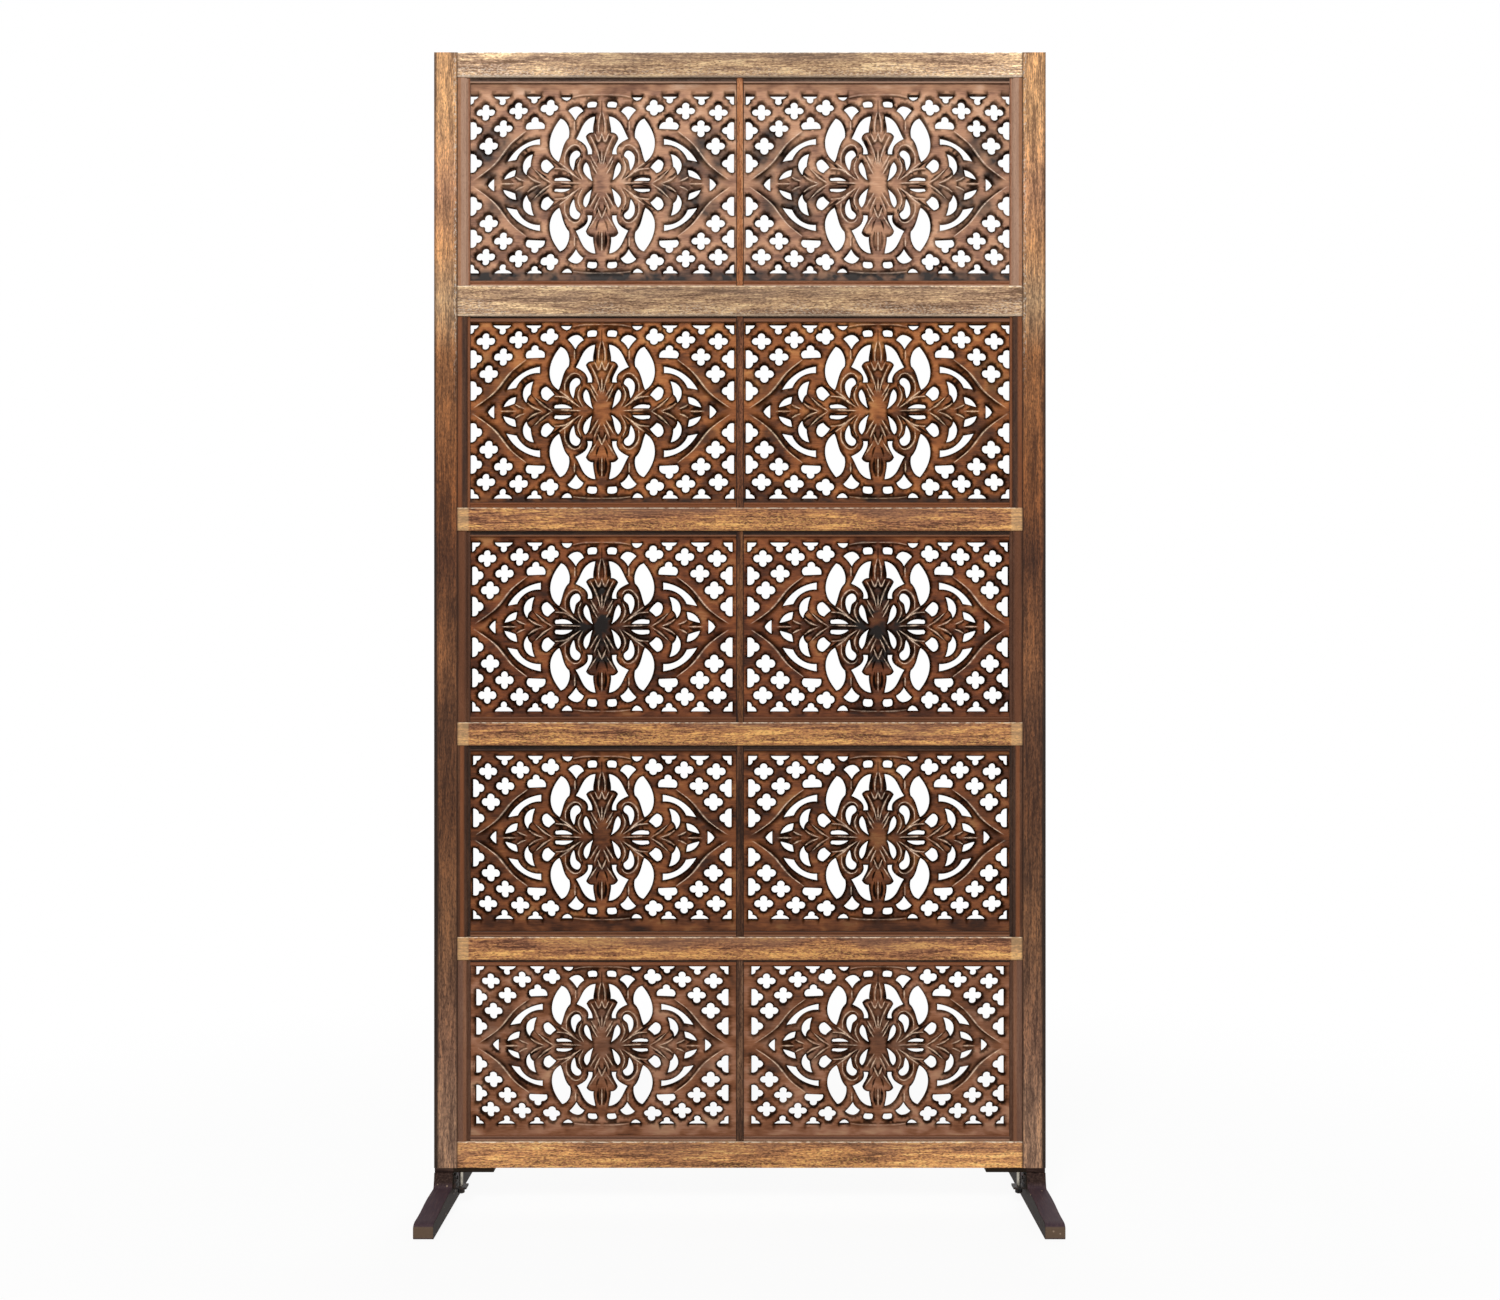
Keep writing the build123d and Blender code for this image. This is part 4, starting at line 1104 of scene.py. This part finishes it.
class JALI_OT_carved_boards(bpy.types.Operator):
    """Carve the ten pierced boards and put them in place of their plain solids"""

    bl_idname = "jali.carved_boards"
    bl_label = "Carved boards"

    def execute(self, context):
        template = BoardTemplate(NODES["carved_board_row_3_right"])
        for number, row in enumerate(ROWS):
            for side_name in SIDES:
                seed = 11 + 7 * number + (3 if side_name == "left" else 0)
                name = f"carved_stained_mango_{row}_{side_name}"
                low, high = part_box(f"carved_board_{row}_{side_name}")
                material = mango_carved(name, seed, (low.z, high.z), *BOARD_TONES[row])
                build_board(template, row, side_name, material)
        return {"FINISHED"}


# ---- frame, beads and muntins

# Tones from the pores to the bright flecks. A stile's are shares of its stain's colour.
STILE_SHARES = (
    (0.34, 0.32, 0.33, 1.0),
    (0.60, 0.57, 0.55, 1.0),
    (0.88, 0.85, 0.82, 1.0),
    (1.18, 1.12, 1.02, 1.0),
    (1.70, 1.56, 1.32, 1.0),
)
# the two upper rails are paler, partly their stain and partly painted light from above
PALE_TONES = ("#5A402C", "#7F604A", "#A07F60", "#B8946E", "#DEBD90")
GOLDEN_TONES = ("#4E2E1E", "#7C4E36", "#A36F4A", "#BE8450", "#E4AE68")
RAIL_TONES = {
    "top_rail": PALE_TONES,
    "upper_rail": PALE_TONES,
    "bottom_rail": ("#573824", "#8C5E40", "#B98054", "#D4975C", "#F4C47C"),
}
PEG_TONES = ("#3B2618", "#5A3B26", "#6E4A30", "#80583A", "#946846")
BEAD_TONES = {
    "row_1": ("#6A4836", "#94694F", "#AD8268", "#C09478", "#D0A88C"),
    "row_2": ("#352116", "#52331F", "#68412A", "#7E5236", "#946444"),
    "row_3": ("#352116", "#52331F", "#66402A", "#7A5036", "#8C6044"),
    "row_4": ("#372317", "#553722", "#6C4831", "#80583E", "#926A4C"),
    "row_5": ("#453025", "#654535", "#7B5944", "#8E6A54", "#A07C64"),
}
MUNTIN_TONES = {
    "row_1": ("#5A3220", "#84502F", "#A0653C", "#B0744A", "#C08A60"),
    "row_2": ("#321A0E", "#53301A", "#70432A", "#815034", "#95623F"),
    "row_3": ("#2A150B", "#432513", "#5C3820", "#6E4528", "#825636"),
    "row_4": ("#241309", "#39200F", "#4C2F1E", "#603D28", "#745036"),
    "row_5": ("#2C1B12", "#452C1E", "#5C3F2D", "#70503A", "#84634A"),
}


class JALI_OT_frame_members(bpy.types.Operator):
    """Finish the stiles, rails and pegs"""

    bl_idname = "jali.frame_members"
    bl_label = "Stiles and rails"

    def execute(self, context):
        for number, side_name in enumerate(SIDES):
            name = f"waxed_mango_stile_{side_name}"
            seed = 2.0 + 5 * number
            material = mango_planed(name, "Z", STILE_SHARES, seed, stile_stain_and_shade)
            dress(f"stile_{side_name}", material)
        for number, rail in enumerate(RAILS):
            tones = RAIL_TONES.get(rail, GOLDEN_TONES)
            seed = 31.0 + 4 * number
            stain = partial(rail_stain, rail)
            dress(rail, mango_planed(f"waxed_mango_{rail}", "X", tones, seed, stain))
        dress("tenon_pegs", mango_planed("mango_peg_end_grain", "Y", PEG_TONES, 77.0))
        return {"FINISHED"}


class JALI_OT_beads_and_muntins(bpy.types.Operator):
    """Finish the beads that hold the boards, the muntins and the brads"""

    bl_idname = "jali.beads_and_muntins"
    bl_label = "Beads and muntins"

    def execute(self, context):
        for number, row in enumerate(ROWS):
            beads = BEAD_TONES[row]
            cross_stain_and_shade, side_stain_and_shade = (
                partial(stain, row) for stain in (cross_bead_stain_and_shade, side_bead_stain_and_shade)
            )
            pieces = [
                # node, the grain's axis, tones, seed, stain with painted light and shade, and how
                # bold the figure is
                (f"cross_beads_{row}", "X", beads, 130.0 + number, cross_stain_and_shade, 0.6),
                (f"back_beads_{row}", "X", beads, 140.0 + number, None, 1.0),
                (f"muntin_{row}", "Z", MUNTIN_TONES[row], 150.0 + number, muntin_shade, 0.5),
            ]
            for side_name, side in SIDES.items():
                seed = 100.0 + 3 * number + side
                pieces.append((f"side_bead_{row}_{side_name}", "Z", beads, seed, side_stain_and_shade, 0.6))
            for node_name, *finish in pieces:
                dress(node_name, mango_planed(f"stained_mango_{node_name}", *finish))
        dress("bead_brads", steel_zinc("zinc_brad_steel", 0.42))
        return {"FINISHED"}


# ---- feet and hardware


def mango_blackened(name, axis, seed):
    """Mango foot under a thick dark stain, knocked at the arrises.

    The stain hides most of the grain, has a purple cast on top and a low satin sheen, and the
    side faces are darkened with painted shade.
    """
    material, tree = new_material(name)
    grain = noise(tree, axis, 40 * MM, 3 * MM, seed, 3.0, bent=0.0)
    foot = bpy.context.scene.jali_colours.foot[:]
    stops = ((0.30, "#1E1513"), (0.52, foot), (0.75, "#54423A"))
    ramp = add(tree, "ValToRGB", (grain,), stops=stops)
    space = grain_space(tree, axis, 26 * MM, 15 * MM, seed + 5)
    knocks = add(tree, "TexVoronoi", {"Vector": space, "Scale": 1.0})
    chip = add(tree, "MapRange", (knocks, 0.07, 0.12, 0.8, 0.0))
    place = place_of(tree)
    across = from_middle(tree, from_middle(tree, place["X"]), FOOT_MIDDLE)
    # painted shade on the foot's side faces
    shaded_sides = add(tree, "MapRange", (across, 14.3 * MM, 14.9 * MM))
    along = from_middle(tree, place["Y"])
    ends = add(tree, "MapRange", (along, FOOT_END - 2.0 * MM, FOOT_END - 0.4 * MM))
    top = add(tree, "MapRange", (place["Z"], 40 * MM, 30 * MM))
    colour = layered(
        tree,
        ramp,
        ("#574650", top, 0.5),
        ("#211A12", shaded_sides, 0.9),
        ("#665442", ends, 0.8),
        ("#9C8672", chip),
    )
    height = add(tree, "Math", (chip, -1.0, grain), operation="MULTIPLY_ADD")
    satin = {"Base Color": colour, "Roughness": 0.6, "IOR": 1.5, "Specular IOR Level": 0.05}
    return coat(material, satin, (height, 0.5, 0.4 * MM))


def clouded(tree, axis, along, across, seed, detail, stops):
    """Cloudy noise and the colour that it gives a plain surface."""
    clouds = noise(tree, axis, along, across, seed, detail, 0.5, 0.0)
    return clouds, add(tree, "ValToRGB", (clouds,), stops=stops)


def steel_zinc(name, roughness):
    """Zinc-plated steel dulled by handling, with a cloudy, lightly spotted film."""
    material, tree = new_material(name)
    stops = ((0.3, "#8F887D"), (0.7, "#BDB6A8"))
    film, colour = clouded(tree, "Z", 9 * MM, 6 * MM, 4.0, 3.0, stops)
    dull = add(tree, "MapRange", (film, 0.3, 0.7, roughness + 0.1, roughness - 0.08))
    return coat(material, {"Base Color": colour, "Metallic": 1.0, "Roughness": dull})


def iron_blackened(name):
    """Mild steel, oil-blackened in the forge, with brown rust starting in patches."""
    material, tree = new_material(name)
    stops = ((0.45, "#16110F"), (0.72, "#3A271D"))
    rust, colour = clouded(tree, "Z", 6 * MM, 6 * MM, 9.0, 4.0, stops)
    scaly = {"Base Color": colour, "Metallic": 0.35, "Roughness": 0.7}
    return coat(material, scaly, (rust, 0.4, 0.2 * MM))


def nylon_moulded(name):
    """Injection-moulded nylon glide, off-white, scuffed matt by the floor."""
    material, tree = new_material(name)
    stops = ((0.35, "#B5AFA2"), (0.6, "#D6D1C4"))
    _, colour = clouded(tree, "X", 5 * MM, 1 * MM, 3.0, 3.0, stops)
    return coat(material, {"Base Color": colour, "Roughness": 0.6, "IOR": 1.53})


class JALI_OT_feet(bpy.types.Operator):
    """Finish the feet and the plates above them"""

    bl_idname = "jali.feet"
    bl_label = "Feet"

    def execute(self, context):
        for piece, axis, seed in (("foot", "Y", 5.0), ("foot_plate", "X", 8.0)):
            for number, side_name in enumerate(SIDES):
                node_name = f"{piece}_{side_name}"
                material = mango_blackened(f"blackened_mango_{node_name}", axis, seed + number)
                dress(node_name, material)
        return {"FINISHED"}


class JALI_OT_hardware(bpy.types.Operator):
    """Finish the brackets, studs, nuts, screws and glides"""

    bl_idname = "jali.hardware"
    bl_label = "Hardware"

    def execute(self, context):
        dress("foot_brackets", iron_blackened("blackened_bracket_steel"))
        dress("stud_nuts", iron_blackened("blackened_nut_steel"))
        plated = steel_zinc("zinc_stud_steel", 0.4)
        for name in ("foot_studs", "foot_screws", "plate_screws"):
            dress(name, plated)
        dress("bracket_screws", iron_blackened("blackened_screw_steel"))
        dress("foot_glides", nylon_moulded("moulded_nylon_glide"))
        return {"FINISHED"}


# ---- stage

# each lamp's name, its place, the height of the point that it faces, its side and power
LAMPS = (
    ("key", (-1.2, -6.5, 6.0), 0.9, 2.2, 430),
    ("front_fill", (2.0, -5.0, 0.6), 0.7, 2.6, 58),
    ("back_fill", (0.6, 4.6, 3.6), 0.9, 3.0, 110),
)
WHITE = "#FFFFFF"


def area_lamp(name, place, height, size, power):
    """Soft square lamp aimed at a point above the middle of the floor."""
    data = bpy.data.lights.new(name, "AREA")
    data.shape = "SQUARE"
    data.size = size
    data.energy = power
    lamp = bpy.data.objects.new(name, data)
    bpy.context.scene.collection.objects.link(lamp)
    lamp.location = place
    aim = Vector((0, 0, height)) - Vector(place)
    lamp.rotation_mode = "QUATERNION"
    lamp.rotation_quaternion = aim.to_track_quat("-Z", "Y")


def seen(tree):
    """1 for rays that come from the lens, off a shiny surface or through a clear one."""
    path = add(tree, "LightPath").outputs
    direct = (path["Is Camera Ray"], path["Is Glossy Ray"])
    direct = add(tree, "Math", direct, operation="MAXIMUM")
    return add(tree, "Math", (direct, path["Is Transmission Ray"]), operation="MAXIMUM")


class JALI_OT_stage(bpy.types.Operator):
    """Lay the floor, hang the lamps and set up the camera"""

    bl_idname = "jali.stage"
    bl_label = "Stage"

    def execute(self, context):
        scene = context.scene
        stage = scene.jali_stage
        scene.view_settings.view_transform = "Standard"
        self.world(scene)
        self.floor(scene)
        for lamp in LAMPS:
            area_lamp(*lamp)
        data = bpy.data.cameras.new("studio_camera")
        data.sensor_width = 36.0
        data.lens = stage.lens
        data.shift_y = 0.03
        camera = bpy.data.objects.new("studio_camera", data)
        scene.collection.objects.link(camera)
        camera.location = (stage.camera_aside, -stage.camera_distance, stage.camera_height)
        camera.rotation_euler = (math.pi / 2, 0, 0)
        scene.camera = camera
        return {"FINISHED"}

    def world(self, scene):
        """Grey light all round, and white where it is seen."""
        world = bpy.data.worlds.new("studio")
        scene.world = world
        world.use_nodes = True
        tree = world.node_tree
        tree.nodes.clear()
        ambient = add(tree, "Background", ("#FAFDFF", 0.24))
        white = add(tree, "Background", (WHITE, 1.0))
        add(tree, "OutputWorld", (add(tree, "MixShader", (seen(tree), ambient, white)),))

    def floor(self, scene):
        """A wide floor, rolled with matt studio paint.

        It is dull and pale, shows the screen's soft shadow and fades into the white.
        """
        bpy.ops.mesh.primitive_circle_add(vertices=96, radius=30.0, fill_type="NGON")
        floor = bpy.context.object
        floor.name = "studio_floor"
        floor.location = (0, 0, 0)
        material, tree = new_material("studio_floor_paint")
        source = add(tree, "TexCoord").outputs["Object"]
        distance = add(tree, "VectorMath", (source,), operation="LENGTH")
        far = add(tree, "MapRange", (distance, 0.7, 2.2, 0.92, 1.0), **SMOOTH)
        share = add(tree, "Math", (seen(tree), far), operation="MULTIPLY")
        matt = {"Base Color": scene.jali_colours.floor[:], "Roughness": 0.9}
        paint = add(tree, "BsdfPrincipled", matt)
        glow = add(tree, "Emission", (WHITE, 1.0))
        add(tree, "OutputMaterial", (add(tree, "MixShader", (share, paint, glow)),))
        floor.data.materials.append(material)


# ---- panel and registration


class JALI_PT_panel(bpy.types.Panel):
    """Lists the steps that finish the screen"""

    bl_idname = "JALI_PT_panel"
    bl_label = "Carved jali screen"
    bl_space_type = "VIEW_3D"
    bl_region_type = "UI"
    bl_category = "Jali"

    def draw(self, context):
        for group in GROUPS:
            settings = getattr(context.scene, group)
            for name in settings.__annotations__:
                self.layout.prop(settings, name)
        for step in STEPS:
            self.layout.operator(step.bl_idname)


GROUPS = {
    "jali_carving": JaliCarving,
    "jali_colours": JaliColours,
    "jali_stage": JaliStage,
}
STEPS = (
    JALI_OT_carved_boards,
    JALI_OT_frame_members,
    JALI_OT_beads_and_muntins,
    JALI_OT_feet,
    JALI_OT_hardware,
    JALI_OT_stage,
)


def register():
    """Register every class and hang the settings on the scene."""
    for kind in (*GROUPS.values(), *STEPS, JALI_PT_panel):
        bpy.utils.register_class(kind)
    for name, kind in GROUPS.items():
        setattr(bpy.types.Scene, name, bpy.props.PointerProperty(type=kind))


def unregister():
    """Undo register."""
    for name in GROUPS:
        delattr(bpy.types.Scene, name)
    for kind in reversed((*GROUPS.values(), *STEPS, JALI_PT_panel)):
        bpy.utils.unregister_class(kind)


def main():
    """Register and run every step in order."""
    register()
    bpy.ops.jali.stage()
    bpy.ops.jali.carved_boards()
    bpy.ops.jali.frame_members()
    bpy.ops.jali.beads_and_muntins()
    bpy.ops.jali.feet()
    bpy.ops.jali.hardware()


if __name__ == "__main__":
    main()
